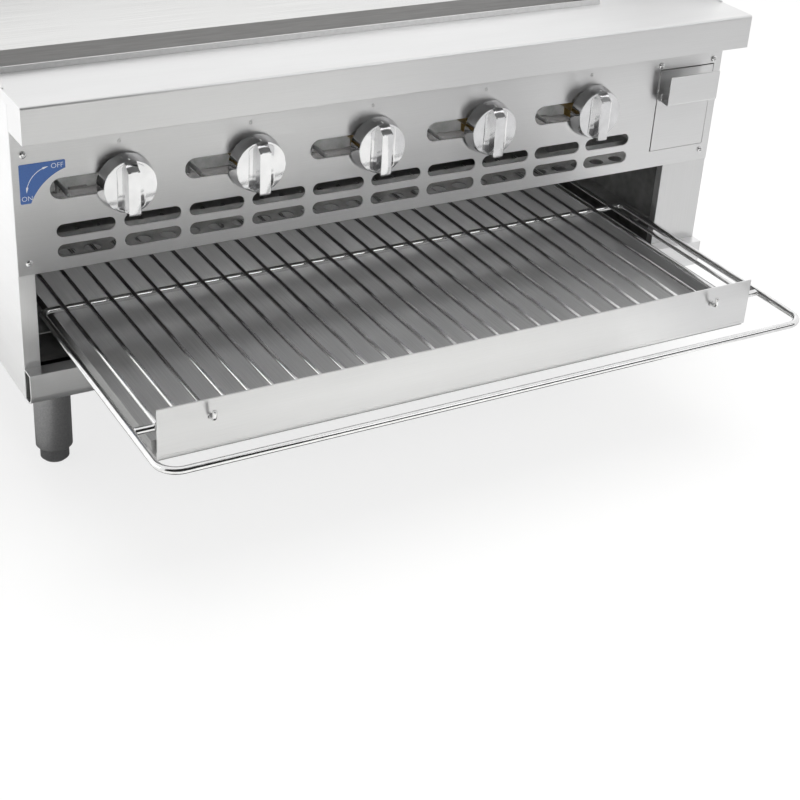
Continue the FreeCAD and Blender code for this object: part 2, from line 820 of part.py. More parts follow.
node("grease_trough", trough())


def chute():
    # A sloping channel below the drain slot, down to the drawer's open top.
    left = drain_start - chute_rise
    right = drawer_left + chute_lip
    top = trough_floor - play
    low = top - chute_drop
    rise = chute_rise
    front = ledge_depth + play
    floor_points = [
        (left, top - rise),
        (right, low - rise),
        (right, low - rise + metal),
        (left, top - rise + metal),
    ]
    wall_points = [(left, top - rise), (right, low - rise), (right, low), (left, top)]
    floor = plate("XZ", floor_points, front, trough_back - front)
    walls = [plate("XZ", wall_points, y, metal) for y in (front, trough_back - metal)]
    end = box(left, left + metal, front, trough_back, top - rise, top)
    return joined(floor, *walls, end)


node("grease_chute", chute())

box_left = drawer_left + box_inset
box_right = drawer_right - box_inset
box_floor = drawer_bottom + box_lift
box_rim = drawer_top - box_drop


def drawer_box():
    outside = box(box_left, box_right, metal, box_depth, box_floor, box_rim)
    inside = box(
        box_left + box_metal,
        box_right - box_metal,
        metal + box_metal,
        box_depth - box_metal,
        box_floor + box_metal,
        box_rim + box_metal,
    )
    return less(outside, inside)


node("grease_drawer", drawer_box())
node("drawer_front", box(drawer_left, drawer_right, 0, metal, drawer_bottom, drawer_top))


def drawer_pull():
    # A folded lip: out from the drawer's front at its foot, then up, open at the top for the fingers.
    points = [
        (0, pull_bottom - metal),
        (-pull_reach, pull_bottom - metal),
        (-pull_reach, pull_top),
        (metal - pull_reach, pull_top),
        (metal - pull_reach, pull_bottom),
        (-metal, pull_bottom),
        (-metal, pull_bottom + pull_reach / 2),
        (0, pull_bottom + pull_reach / 2),
    ]
    left = drawer_left + pull_margin
    run = drawer_width - 2 * pull_margin
    lip = plate("YZ", points, left, run, {4: metal, 1: 2 * metal})
    start = left + pull_slant
    stop = left + run - pull_slant
    wedges = []
    for edge, inner in ((left, start), (left + run, stop)):
        wedges.append(
            plate("XY", [(edge, -pull_reach), (edge, 0), (inner, 0)], pull_bottom - 2 * metal, pull_top)
        )
    return less(lip, *wedges)


node("drawer_handle", drawer_pull())


def drawer_runner(outer, sign):
    # An angle that hangs behind the panel beside the drawer, its foot under the drawer's box.
    bottom = box_floor - play - metal
    foot = span(outer, runner_width, sign)
    web = span(outer, metal, sign)
    top = bottom + runner_height
    return joined(
        box(*foot, metal, runner_depth, bottom, bottom + metal),
        box(*web, metal, runner_depth, bottom, top),
        box(*foot, runner_depth - metal, runner_depth, bottom, top),
    )


left_web = drawer_left - drawer_gap - play - metal
right_web = drawer_right + drawer_gap_right + play + metal
left_angle = drawer_runner(left_web, 1)
right_angle = drawer_runner(right_web, -1)
node("drawer_runners", together(left_angle, right_angle))


# Gas train: inlet pipe, manifold, valves, stems, pilots and burners

pipe_bore = pipe_width - 2 * pipe_wall


def gas_pipe():
    # The pipe along the left side, from the elbow at the manifold out through the back.
    thread_start = body_depth + inlet_reach - thread_length
    run = thread_start - manifold_place
    outside = rod("y", inlet_x, manifold_place, pipe_height, pipe_width, run)
    thread = rod("y", inlet_x, thread_start, pipe_height, thread_width, thread_length)
    bore = rod("y", inlet_x, manifold_place, pipe_height, pipe_bore, run + thread_length + metal)
    elbow = ball(inlet_x, manifold_place, pipe_height, pipe_width)
    return less(joined(outside, elbow, thread), bore)


node("gas_inlet", gas_pipe())


def manifold():
    start = inlet_x + pipe_width / 2 + play
    outside = rod("x", start, manifold_place, pipe_height, pipe_width, manifold_end - start)
    brackets = []
    for x in (start + bracket_inset, manifold_end - bracket_inset):
        brackets.append(
            box(
                x - bracket_width / 2,
                x + bracket_width / 2,
                manifold_place,
                front_bearer,
                pipe_height,
                pipe_height + 2 * metal,
            )
        )
    bore = rod("x", start - metal, manifold_place, pipe_height, pipe_bore, manifold_end - start)
    return less(joined(outside, *brackets), bore)


node("gas_manifold", manifold())

valve_back = valve_front + valve_depth
stem_bore = stem_width + 2 * stem_fit
dial_face = -dial_gap - dial_depth
stem_front = dial_face + face_wall / 2


def valve(x):
    block = rod("y", x, valve_front, dial_height, valve_width, valve_depth)
    hood = rod("y", x, valve_back, dial_height, hood_width, hood_depth)
    neck_bottom = pipe_height + pipe_width / 2 - metal
    neck = rod("z", x, manifold_place, neck_bottom, hood_width, dial_height - neck_bottom)
    bore = rod("y", x, valve_front - metal, dial_height, stem_bore, stem_depth + metal)
    pipe = rod("x", x - valve_width, manifold_place, pipe_height, pipe_width + 2 * play, 2 * valve_width)
    return less(joined(block, hood, neck), bore, pipe)


def valve_stem(x):
    return rod("y", x, stem_front, dial_height, stem_width, valve_front + stem_depth - play - stem_front)


def dial(x):
    skirt = dial_width / 2
    face = face_width / 2
    inner_back = skirt - skirt_wall
    inner_face = face - skirt_wall
    bore = stem_width / 2 + stem_fit
    profile = [
        (-dial_gap, inner_back),
        (-dial_gap, skirt),
        (dial_face, face),
        (dial_face, 0),
        (stem_front, 0),
        (stem_front, bore),
        (-dial_gap, bore),
        (-dial_gap, hub_width / 2),
        (dial_face + face_wall, hub_width / 2),
        (dial_face + face_wall, inner_face),
    ]
    cap = turned("y", profile, x, 0, dial_height)
    top = dial_face - grip_rise
    reach = face - metal
    grip_points = [
        (dial_face + metal, dial_height - reach),
        (top + grip_bevel, dial_height - reach),
        (top, dial_height - reach + grip_bevel),
        (top, dial_height + reach - grip_slant),
        (dial_face - metal, dial_height + reach),
        (dial_face + metal, dial_height + reach),
    ]
    grip = plate("YZ", grip_points, x - grip_width / 2, grip_width)
    scoops = []
    for sign in (-1, 1):
        near = x + grip_width / 2 * sign
        far = near + scoop_width * sign
        scoop_points = [(near, dial_face - metal), (near, dial_face + scoop_depth), (far, dial_face - metal)]
        scoops.append(
            plate("XY", scoop_points, dial_height - reach + scoop_width, 2 * (reach - scoop_width))
        )
    return less(joined(cap, grip), *scoops)


def pilot(x):
    # A thin tube up from the manifold and back towards the burner's mouth.
    bottom = pipe_height + pipe_width / 2
    top = pipe_height + pilot_rise
    riser = rod("z", x, manifold_place, bottom, pilot_width, top - bottom)
    elbow = ball(x, manifold_place, top, pilot_width)
    reach = rod("y", x, manifold_place, top, pilot_width, pilot_reach)
    tip = cone("y", x, manifold_place + pilot_reach, top, pilot_width, 2 * pilot_width, 2 * pilot_width)
    return joined(riser, elbow, reach, tip)


def burner(x):
    run = burner_back - burner_front
    outside = rod("y", x, burner_front, dial_height, burner_width, run)
    bore = rod(
        "y",
        x,
        burner_front - burner_wall,
        dial_height,
        burner_width - 2 * burner_wall,
        run,
    )
    return less(outside, bore)


pilots = []
for number in range(int(dial_count.number)):
    dial_x = first_dial + number * dial_pitch
    node(f"valve_{number + 1}", valve(dial_x))
    node(f"valve_stem_{number + 1}", valve_stem(dial_x))
    node(f"knob_{number + 1}", dial(dial_x))
    node(f"burner_{number + 1}", burner(dial_x))
    pilots.append(pilot(dial_x + pilot_offset))
node("pilot_lights", together(*pilots))


def burner_rail(place_y, wall_y, right):
    # An angle across the body, notched where the gas pipe passes below its top.
    top = dial_height - burner_width / 2 - play
    bottom = top - bearer_height
    sole = box(-inner_side, right, place_y, place_y + bearer_depth, top - metal, top)
    web = box(-inner_side, right, wall_y, wall_y + metal, bottom, top)
    notch = box(
        -inner_side,
        bearer_notch - inner_side,
        place_y - metal,
        place_y + bearer_depth + metal,
        bottom - metal,
        top - bearer_lip,
    )
    return less(joined(sole, web), notch)


node("front_burner_rail", burner_rail(front_bearer, front_bearer, left_web))
rear_bearer = burner_back - bearer_depth
node("rear_burner_rail", burner_rail(rear_bearer, burner_back - metal, inner_side))


# Perforated baffle behind the panel's lower edge


def baffle():
    front = metal
    fold = opening_top + play
    right = opening_right - play
    left = opening_left + play
    points = [
        (front, fold),
        (front, baffle_top),
        (baffle_depth, baffle_top),
        (baffle_depth, fold),
        (baffle_depth - metal, fold),
        (baffle_depth - metal, baffle_top - metal),
        (front + metal, baffle_top - metal),
        (front + metal, fold),
    ]
    sheet_body = plate("YZ", points, left, right - left)
    # The second row stands half a pitch to the right of the first.
    holes_across = fitting(right - left - baffle_pitch / 2, baffle_hole / 2 + baffle_margin, baffle_pitch)
    run = (holes_across - 1) * baffle_pitch
    # The body stands at its left end, so its sketches measure x from there.
    first = (right - left - run - baffle_pitch / 2) / 2
    for row in range(2):
        holes = new_sketch(sheet_body, "XY_Plane")
        x = first + row * baffle_pitch / 2
        y = baffle_first_row + row * baffle_row_gap
        circle = Part.Circle(vector(x.number, y.number, 0), vector(0, 0, 1), baffle_hole.number / 2)
        ring = holes.addGeometry(circle, False)
        fix(holes, "DistanceX", ring, 3, x)
        fix(holes, "DistanceY", ring, 3, y)
        tie(holes, holes.addConstraint(Sketcher.Constraint("Radius", ring, circle.Radius)), baffle_hole / 2)
        repeat(
            sheet_body,
            cut_through(sheet_body, holes, baffle_top + metal, True),
            baffle_pitch,
            holes_across,
        )
    return sheet_body


node("perforated_baffle", baffle())


# Broiler cavity: liners and the folded runners that carry the rack and the tray

liner_left = opening_left - metal
liner_right = opening_right + metal
node("left_liner", box(liner_left - metal, liner_left, sill_back, cavity_back, pan_top, liner_top))
node("right_liner", box(liner_right, liner_right + metal, sill_back, cavity_back, pan_top, liner_top))
rear_left = liner_left - metal
rear_right = liner_right + metal
node("rear_liner", box(rear_left, rear_right, cavity_back, cavity_back + metal, pan_top, liner_top))


def rack_runner(wall, sign):
    # A shelf for the rack, a web on the liner and a shelf for the tray, folded from one sheet.
    shelf_edge = wall + shelf_width * sign
    ledger_edge = wall + ledger_width * sign
    web = wall + metal * sign
    points = [
        (wall, opening_bottom - metal),
        (ledger_edge, opening_bottom - metal),
        (ledger_edge, opening_bottom),
        (web, opening_bottom),
        (web, shelf_height - metal),
        (shelf_edge, shelf_height - metal),
        (shelf_edge, shelf_height),
        (wall, shelf_height),
    ]
    start = post_flange + play
    return plate("XZ", points, start, cavity_back - start)


node("left_runner", rack_runner(liner_left, 1))
node("right_runner", rack_runner(liner_right, -1))


# Rack: a bent outer rail, an inner loop and the wires welded across them
# Its places along y are those with the rack pushed in, and `pulled` moves them out.

rail_height_axis = shelf_height + play + rail_width / 2
wire_height = rail_height_axis + rail_width / 2 + wire_width / 2 - wire_sink
wire_count = fitting(rack_width, wire_margin, wire_pitch)
first_wire = opening_middle - (wire_count - 1) * wire_pitch / 2
hook_wires = (int(hook_wire.number) - 1, wire_count - int(hook_wire.number))


def pulled(y):
    return y - rack_pull


def corner_bends(x, front, corner, width):
    # The two bends at the front of a rail whose sides lie at +/- x from the middle.
    y = front + corner
    return [
        bend(opening_middle - x + corner, y, rail_height_axis, 180, corner, width),
        bend(opening_middle + x - corner, y, rail_height_axis, 270, corner, width),
    ]


def rack():
    rail_x = rack_width / 2 - rail_width / 2
    loop_x = rail_x - rail_width - play
    z = rail_height_axis
    front = pulled(rail_width / 2 - rack_proud)
    back = pulled(rack_back)
    pieces = corner_bends(rail_x, front, rail_corner, rail_width)
    for sign in (-1, 1):
        x = opening_middle + rail_x * sign
        pieces.append(rod("y", x, front + rail_corner, z, rail_width, back - front - rail_corner))
    start = opening_middle - rail_x
    pieces.append(rod("x", start + rail_corner, front, z, rail_width, 2 * (rail_x - rail_corner)))
    pieces.append(rod("x", start, back - cross_width, z, cross_width, 2 * rail_x))

    near = pulled(loop_front)
    far = pulled(loop_back)
    pieces += corner_bends(loop_x, near, loop_corner, rail_width)
    pieces.append(
        bend(opening_middle - loop_x + loop_corner, far - loop_corner, z, 90, loop_corner, rail_width)
    )
    pieces.append(
        bend(opening_middle + loop_x - loop_corner, far - loop_corner, z, 0, loop_corner, rail_width)
    )
    loop_start = opening_middle - loop_x
    for y in (near, far):
        pieces.append(
            rod("x", loop_start + loop_corner, y, z, rail_width, 2 * (loop_x - loop_corner))
        )
    for sign in (-1, 1):
        x = opening_middle + loop_x * sign
        pieces.append(rod("y", x, near + loop_corner, z, rail_width, far - near - 2 * loop_corner))

    for index in range(wire_count):
        x = first_wire + index * wire_pitch
        start = near - rail_width / 2
        if index in hook_wires:
            start = pulled(-face_plate_back - face_plate_metal - hook_reach + hook_bend)
            pieces += hook(x, start)
        pieces.append(rod("y", x, start, wire_height, wire_width, back - start))
    return joined(*pieces)


def hook(x, y):
    # A wire's end, bent up in front of the rack's plate.
    standing = FreeCAD.Rotation(vector(0, 1, 0), vector(0, 0, 1), vector(1, 0, 0), "ZXY")
    z = wire_height + hook_bend
    return [
        bend(x, y, z, 180, hook_bend, wire_width, standing),
        rod("z", x, y - hook_bend, z, wire_width, hook_rise),
    ]


node("broiler_rack", rack())


def rack_plate():
    back = pulled(-face_plate_back)
    front = back - face_plate_metal
    hem_front = back + face_plate_metal
    left = opening_middle - face_plate_half
    sheet_part = box(
        left, left + 2 * face_plate_half, front, back, face_plate_bottom, face_plate_top
    )
    hem = box(
        left,
        left + 2 * face_plate_half,
        back,
        hem_front,
        face_plate_bottom,
        face_plate_bottom + face_plate_hem,
    )
    holes = []
    for index in hook_wires:
        x = first_wire + index * wire_pitch
        hole_width = wire_width + 2 * hook_play
        run = 2 * face_plate_metal
        holes.append(rod("y", x, front - face_plate_metal / 2, wire_height, hole_width, run))
    return less(joined(sheet_part, hem), *holes)


node("rack_front_plate", rack_plate())


def drip_tray():
    left = opening_middle - tray_half
    right = opening_middle + tray_half
    front = pulled(0)
    back = front + tray_depth
    bottom = opening_bottom + play
    outside = box(left, right, front, back, bottom, bottom + tray_wall)
    inside = box(
        left + metal, right - metal, front + metal, back - metal, bottom + metal, bottom + 2 * tray_wall
    )
    return less(outside, inside)


node("drip_tray", drip_tray())


# Legs and screw feet


def leg_places():
    for y in (leg_front, body_depth - leg_front):
        for sign in (-1, 1):
            yield (side - leg_inset) * sign, y


def leg_tube(x, y):
    outside = leg_width / 2
    inside = foot_width / 2 + foot_fit
    profile = [
        (leg_bottom, inside),
        (leg_bottom, outside - leg_round / 2),
        (leg_bottom + leg_round / 2, outside),
        (base_height, outside),
        (base_height, 0),
        (base_height - leg_cap, 0),
        (base_height - leg_cap, inside),
    ]
    return turned("z", profile, x, y, 0)


def foot(x, y):
    radius = foot_width / 2
    profile = [
        (0, 0),
        (0, radius - foot_chamfer),
        (foot_chamfer, radius),
        (foot_height, radius),
        (foot_height, 0),
    ]
    return turned("z", profile, x, y, 0)


node("leg_tubes", together(*[leg_tube(x, y) for x, y in leg_places()]))
for number, (foot_x, foot_y) in enumerate(leg_places(), 1):
    node(f"foot_{number}", foot(foot_x, foot_y))


# Screws and the printed label


def screw(x, z):
    rim = rod("y", x, -screw_rim, z, screw_width, screw_rim)
    dome = cone("y", x, -screw_rise, z, screw_flat, screw_width, screw_rise - screw_rim)
    return joined(rim, dome)


screw_x = side - screw_inset
upper_screw = drawer_top + upper_screw_rise
lower_screw = drawer_bottom - lower_screw_drop
screw_places = [
    (-screw_x, upper_screw),
    (-screw_x, lower_screw),
    (drawer_left - drawer_screw, upper_screw),
    (screw_x, upper_screw),
    (screw_x, lower_screw),
]
node("panel_screws", together(*[screw(x, z) for x, z in screw_places]))

label_x = label_left - side
label_bottom = dial_height - label_drop
label_top = label_bottom + label_height
label = [
    (label_x, label_bottom),
    (label_x + label_foot, label_bottom),
    (label_x + label_waist, label_bottom + label_waist_rise),
    (label_x + label_width, label_top - label_edge),
    (label_x + label_width, label_top),
    (label_x, label_top),
]
node("dial_label", plate("XZ", label, -label_metal, label_metal))


# Check and write

doc.recompute()
for thing in doc.Objects:
    if "Invalid" in thing.State or "Error" in thing.State:
        raise RuntimeError(f"{thing.Name} ({thing.Label}) failed: {thing.State}")

os.makedirs("parts", exist_ok=True)
for solid in nodes:
    shape = solid.Shape
    if shape.isNull() or not shape.isValid():
        raise RuntimeError(f"{solid.Label} has no valid shape")
for solid in nodes:
    solid.Shape.exportStep(f"parts/{solid.Label}.step")
    extent = solid.Shape.BoundBox
    print(
        f"{solid.Label}: {len(solid.Shape.Solids)} solid(s), "
        f"x {extent.XMin:.1f} to {extent.XMax:.1f}, y {extent.YMin:.1f} to {extent.YMax:.1f}, "
        f"z {extent.ZMin:.1f} to {extent.ZMax:.1f}"
    )
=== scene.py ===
import math

import bmesh
import bpy
import numpy as np
from mathutils import Matrix, Vector


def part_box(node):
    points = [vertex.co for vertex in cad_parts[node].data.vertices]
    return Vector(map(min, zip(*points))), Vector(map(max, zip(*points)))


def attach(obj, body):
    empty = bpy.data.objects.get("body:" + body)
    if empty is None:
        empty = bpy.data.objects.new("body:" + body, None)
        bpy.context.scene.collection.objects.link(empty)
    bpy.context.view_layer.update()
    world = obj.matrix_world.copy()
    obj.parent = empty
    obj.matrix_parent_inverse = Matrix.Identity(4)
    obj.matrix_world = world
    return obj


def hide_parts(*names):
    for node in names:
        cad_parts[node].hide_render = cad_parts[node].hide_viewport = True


# Raised griddle broiler. Lengths in the dictionaries are millimetres unless a note says metres, and are
# turned to metres when a mesh is made.
# x runs along the front, y to the back, z up, and the face of the control panel lies at y = panelFace.

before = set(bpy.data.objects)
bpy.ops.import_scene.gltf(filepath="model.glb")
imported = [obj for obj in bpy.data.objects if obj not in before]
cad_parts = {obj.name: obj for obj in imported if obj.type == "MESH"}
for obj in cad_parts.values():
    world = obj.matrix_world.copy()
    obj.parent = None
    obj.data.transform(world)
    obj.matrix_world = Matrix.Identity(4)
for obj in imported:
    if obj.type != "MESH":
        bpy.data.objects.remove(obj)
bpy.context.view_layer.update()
mm = 0.001
mergeReach = 1e-6  # metres: points this close become one
sliverReach = 1e-7  # metres: edges shorter than this go
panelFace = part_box("control_panel")[0][1] / mm
print("frame loaded:", len(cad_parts), "parts")


# Meshes from numpy arrays


def grid(points, closeRows=False, closeColumns=False):
    # A sheet of quads over an array of rows x columns x 3: each quad joins a point to the next in its row
    # and the two below them.
    rows, columns = points.shape[:2]
    i = np.arange(rows if closeRows else rows - 1)
    j = np.arange(columns if closeColumns else columns - 1)
    a, b = np.meshgrid(i, j, indexing="ij")
    c, d = (a + 1) % rows, (b + 1) % columns
    quads = np.stack([a * columns + b, c * columns + b, c * columns + d, a * columns + d], axis=-1)
    return points.reshape(-1, 3), quads.reshape(-1, 4).tolist()


def arc(centre, radius, start, end, steps):
    # Points of a circle's arc in its plane: centre + radius * (cos, sin) of the angle.
    angle = np.radians(np.linspace(start, end, steps))
    return np.stack([centre[0] + radius * np.cos(angle), centre[1] + radius * np.sin(angle)], axis=1)


def tube(path, radius, normal, sides=16, rounding=0.35):
    # A rod along a flat path: each ring is the point + radius * (cos * normal + sin * (tangent x normal)).
    # Two smaller rings and a point at each end round the cut off.
    path = np.asarray(path, float)
    tangent = np.gradient(path, axis=0)
    tangent /= np.linalg.norm(tangent, axis=1)[:, None]
    # The four rings of an end, from its centre point to the full ring: how far in, and how wide.
    inset = radius * rounding * np.array([0.0, 0.0, 0.35, 1.0])
    width = radius * np.array([0.0, 1 - rounding, 1 - 0.3 * rounding, 1.0])
    head = path[0] + tangent[0] * inset[:, None]
    tail = (path[-1] - tangent[-1] * inset[:, None])[::-1]
    spots = np.concatenate([head, path[1:-1], tail])
    first, last = np.repeat(tangent[:1], len(inset), 0), np.repeat(tangent[-1:], len(inset), 0)
    along = np.concatenate([first, tangent[1:-1], last])
    radii = np.concatenate([width, np.full(len(path) - 2, radius), width[::-1]])
    normal = np.asarray(normal, float)
    side = np.cross(along, normal)
    turn = np.linspace(0, 2 * math.pi, sides, endpoint=False)
    ring = np.cos(turn)[None, :, None] * normal + np.sin(turn)[None, :, None] * side[:, None]
    return grid(spots[:, None] + radii[:, None, None] * ring, closeColumns=True)


def turned(profile, centre, sides):
    # A closed profile of (y, radius) points turned about an axis along y through centre: each point becomes
    # a circle, radius * (cos, sin) across the axis.
    profile = np.asarray(profile, float)
    turn = np.linspace(0, 2 * math.pi, sides, endpoint=False)
    along = np.repeat(profile[:, :1], sides, 1)
    points = np.stack([profile[:, 1:] * np.cos(turn), along, profile[:, 1:] * np.sin(turn)], axis=-1)
    return grid(points + np.asarray(centre, float), closeRows=True, closeColumns=True)


def flatBar(outline, start, end, axis):
    # A closed outline carried straight from start to end along x or y, with both ends filled.
    outline = np.asarray(outline, float)
    count = len(outline)
    place = {"x": (1, 2, 0), "y": (0, 2, 1)}[axis]
    points = np.zeros((2, count, 3))
    points[:, :, place[0]] = outline[:, 0]
    points[:, :, place[1]] = outline[:, 1]
    points[:, :, place[2]] = np.array([start, end])[:, None]
    vertices, quads = grid(points, closeColumns=True)
    nearEnd, farEnd = list(range(count)), list(range(count, 2 * count))
    return vertices, [*quads, nearEnd[::-1], farEnd]


def piece(name, patches, material, body, stands=(), sharpAngle=35):
    # One object from several patches: doubles merged, normals pointed outwards, smooth but for its sharp
    # edges. It rides on a body, and stands in for the nodes in `stands`.
    vertices, faces, count = [], [], 0
    for points, polygons in patches:
        vertices.append(np.asarray(points, float) * mm)
        faces += [[corner + count for corner in polygon] for polygon in polygons]
        count += len(points)
    mesh = bpy.data.meshes.new(name)
    mesh.from_pydata(np.concatenate(vertices).tolist(), [], faces)
    work = bmesh.new()
    work.from_mesh(mesh)
    bmesh.ops.remove_doubles(work, verts=work.verts, dist=mergeReach)
    bmesh.ops.dissolve_degenerate(work, edges=work.edges, dist=sliverReach)
    bmesh.ops.recalc_face_normals(work, faces=work.faces)
    work.to_mesh(mesh)
    work.free()
    mesh.shade_smooth()
    mesh.set_sharp_from_angle(angle=math.radians(sharpAngle))
    thing = bpy.data.objects.new(name, mesh)
    bpy.context.scene.collection.objects.link(thing)
    mesh.materials.append(material)
    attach(thing, body)
    for node in stands:
        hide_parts(node)


# Materials


def toLinear(hexColour):
    # An sRGB hex colour as linear red, green, blue and alpha.
    values = [int(hexColour[i : i + 2], 16) / 255 for i in (0, 2, 4)]
    return [v / 12.92 if v <= 0.04045 else ((v + 0.055) / 1.055) ** 2.4 for v in values] + [1.0]


def addNode(tree, kind, settings=None, inputs=None):
    # Adds a node, sets its properties, and gives each input a value or another node's output.
    node = tree.nodes.new(kind)
    for key, value in (settings or {}).items():
        setattr(node, key, value)
    for key, value in (inputs or {}).items():
        if isinstance(value, bpy.types.NodeSocket):
            tree.links.new(value, node.inputs[key])
        else:
            node.inputs[key].default_value = value
    return node


def startMaterial(name, metallic, roughness, **sockets):
    # A material with one shader, whose sockets are set by their own names.
    material = bpy.data.materials.new(name)
    material.use_nodes = True
    tree = material.node_tree
    shader = tree.nodes["Principled BSDF"]
    shader.inputs["Metallic"].default_value = metallic
    shader.inputs["Roughness"].default_value = roughness
    for key, value in sockets.items():
        shader.inputs[key].default_value = value
    return material, tree, shader


def streaks(tree, across, along, direction, detail=3.0):
    # Noise drawn out along one direction: `across` and `along` are a streak's width and length in mm.
    spots = addNode(tree, "ShaderNodeTexCoord").outputs["Object"]
    scale = [1000 / across] * 3
    scale["xyz".index(direction)] = 1000 / along
    mapping = addNode(tree, "ShaderNodeMapping", inputs={"Vector": spots, "Scale": scale})
    return addNode(
        tree,
        "ShaderNodeTexNoise",
        inputs={"Vector": mapping.outputs[0], "Scale": 1.0, "Detail": detail, "Roughness": 0.6},
    ).outputs["Fac"]


def between(tree, factor, low, high, start=0.3, end=0.7):
    # Maps a factor from start...end to low...high: a number for roughness, or two hex colours.
    if isinstance(low, str):
        ramp = addNode(tree, "ShaderNodeValToRGB", inputs={"Fac": factor})
        ramp.color_ramp.elements[0].position = start
        ramp.color_ramp.elements[1].position = end
        ramp.color_ramp.elements[0].color = toLinear(low)
        ramp.color_ramp.elements[1].color = toLinear(high)
        return ramp.outputs["Color"]
    values = {"Value": factor, "From Min": start, "From Max": end, "To Min": low, "To Max": high}
    return addNode(tree, "ShaderNodeMapRange", inputs=values).outputs[0]


brushing = {
    "lineWidth": 0.9,  # real lines are 0.05 mm apart and wouldn't show
    "lineLength": 70,
    "cloudWidth": 60,
    "cloudLength": 220,
    "stretch": 0.9,  # how much longer reflections are across the lines
    "lean": 0.02,  # of the lines' direction towards x and y, and twice that towards z
    "smooth": 0.29,  # roughness beside a line
    "rough": 0.34,  # roughness in a line
    "edgeRadius": 0.9,  # folded edges catch the light as if rounded by this
    "lineDepth": 0.1,
    "lineStrength": 0.02,
}


def brushedStainless(name, direction, dark="e7e7e7", pale="efefef"):
    # 304 stainless sheet, belt-brushed: fine lines along one direction that stretch reflections across
    # them, and faint clouds from the rolling mill.
    # The stretch runs along the surface square to the lines: the normal crossed with their direction,
    # which leans a little so that a face square to the lines has a stretch too.
    b = brushing
    material, tree, shader = startMaterial(name, 1.0, b["smooth"], Anisotropic=b["stretch"])
    lineAxis = [1.0 if axis == direction else b["lean"] * (1 + (axis == "z")) for axis in "xyz"]
    facing = addNode(tree, "ShaderNodeNewGeometry").outputs["Normal"]
    pair = {0: facing, 1: lineAxis}
    square = addNode(tree, "ShaderNodeVectorMath", {"operation": "CROSS_PRODUCT"}, pair)
    tree.links.new(square.outputs[0], shader.inputs["Tangent"])
    lines = streaks(tree, b["lineWidth"], b["lineLength"], direction)
    clouds = streaks(tree, b["cloudWidth"], b["cloudLength"], direction, 2.0)
    haze = addNode(tree, "ShaderNodeMath", {"operation": "MULTIPLY"}, {0: clouds, 1: 0.5})
    terms = {0: lines, 1: 0.5, 2: haze.outputs[0]}
    tone = addNode(tree, "ShaderNodeMath", {"operation": "MULTIPLY_ADD"}, terms)
    tree.links.new(between(tree, tone.outputs[0], dark, pale), shader.inputs["Base Color"])
    tree.links.new(between(tree, lines, b["smooth"], b["rough"]), shader.inputs["Roughness"])
    softEdge = addNode(tree, "ShaderNodeBevel", {"samples": 6}, {"Radius": b["edgeRadius"] * mm})
    relief = {"Strength": b["lineStrength"], "Distance": b["lineDepth"] * mm, "Height": lines}
    bump = addNode(tree, "ShaderNodeBump", inputs={**relief, "Normal": softEdge.outputs[0]})
    tree.links.new(bump.outputs[0], shader.inputs["Normal"])
    return material


frontSteel = brushedStainless("stainless sheet, brushed along the front", "x")
depthSteel = brushedStainless("stainless sheet, brushed front to back", "y")
# Painted shade: the upright sheet is a darker grey than the rest of the stainless, for the dim floor and
# tray that the front posts reflect.
shadedUprightSteel = brushedStainless("stainless sheet, brushed upright", "z", "d6d6d6", "dfdfdf")


def aluminisedSheet():
    # Aluminised steel of the firebox, hot-dipped: a dull grey with a soft mottle and a little heat stain.
    material, tree, shader = startMaterial("aluminised steel sheet, hot-dipped", 0.85, 0.5)
    spots = addNode(tree, "ShaderNodeTexCoord").outputs["Object"]
    grain = 14  # mm
    pattern = {"Vector": spots, "Scale": 1000 / grain, "Detail": 5.0, "Roughness": 0.65}
    mottle = addNode(tree, "ShaderNodeTexNoise", inputs=pattern).outputs["Fac"]
    tree.links.new(between(tree, mottle, "757574", "959594"), shader.inputs["Base Color"])
    tree.links.new(between(tree, mottle, 0.42, 0.58), shader.inputs["Roughness"])
    return material


def groundSteel():
    # Griddle plate, mild steel: its top is surface-ground in long passes and wiped with oil, and its edges
    # are painted a darker grey, a painted shade for the dark reflection on the plate's front edge.
    material, tree, shader = startMaterial("mild steel plate, ground top", 1.0, 0.3)
    grinding = streaks(tree, 1.6, 160, "x")
    topColour = between(tree, grinding, "d2d2d1", "e0e0df")
    # Painted shade: faces that are not the top get a darker grey, standing in for the edge's dark
    # reflection.
    scale = streaks(tree, 1.4, 45, "x", 5.0)
    edgeShadeColour = between(tree, scale, "9d9c9b", "afaead")
    normal = addNode(tree, "ShaderNodeTexCoord").outputs["Normal"]
    up = addNode(tree, "ShaderNodeSeparateXYZ", inputs={"Vector": normal}).outputs["Z"]
    steepest = 0.7  # upward share of a normal from which a face counts as the top
    isTop = addNode(tree, "ShaderNodeMath", {"operation": "GREATER_THAN"}, {0: up, 1: steepest}).outputs[0]
    blend = addNode(tree, "ShaderNodeMix", {"data_type": "RGBA"})
    tree.links.new(isTop, blend.inputs[0])
    tree.links.new(edgeShadeColour, blend.inputs[6])
    tree.links.new(topColour, blend.inputs[7])
    tree.links.new(blend.outputs[2], shader.inputs["Base Color"])
    tree.links.new(between(tree, isTop, 0.5, 0.27, 0.0, 1.0), shader.inputs["Roughness"])
    tree.links.new(between(tree, isTop, 0.35, 1.0, 0.0, 1.0), shader.inputs["Metallic"])
    relief = {"Strength": 0.15, "Distance": 0.0001, "Height": grinding}
    bump = addNode(tree, "ShaderNodeBump", inputs=relief)
    tree.links.new(bump.outputs[0], shader.inputs["Normal"])
    return material


def dripTraySheet():
    # Drip tray, bare cold-rolled sheet: a dull grey with fine lines along its depth.
    material, tree, shader = startMaterial("cold-rolled steel sheet, bare", 0.45, 0.42)
    lines = streaks(tree, 1.2, 90, "y")
    tree.links.new(between(tree, lines, "9d9d9d", "b0b0b0"), shader.inputs["Base Color"])
    tree.links.new(between(tree, lines, 0.36, 0.46), shader.inputs["Roughness"])
    return material


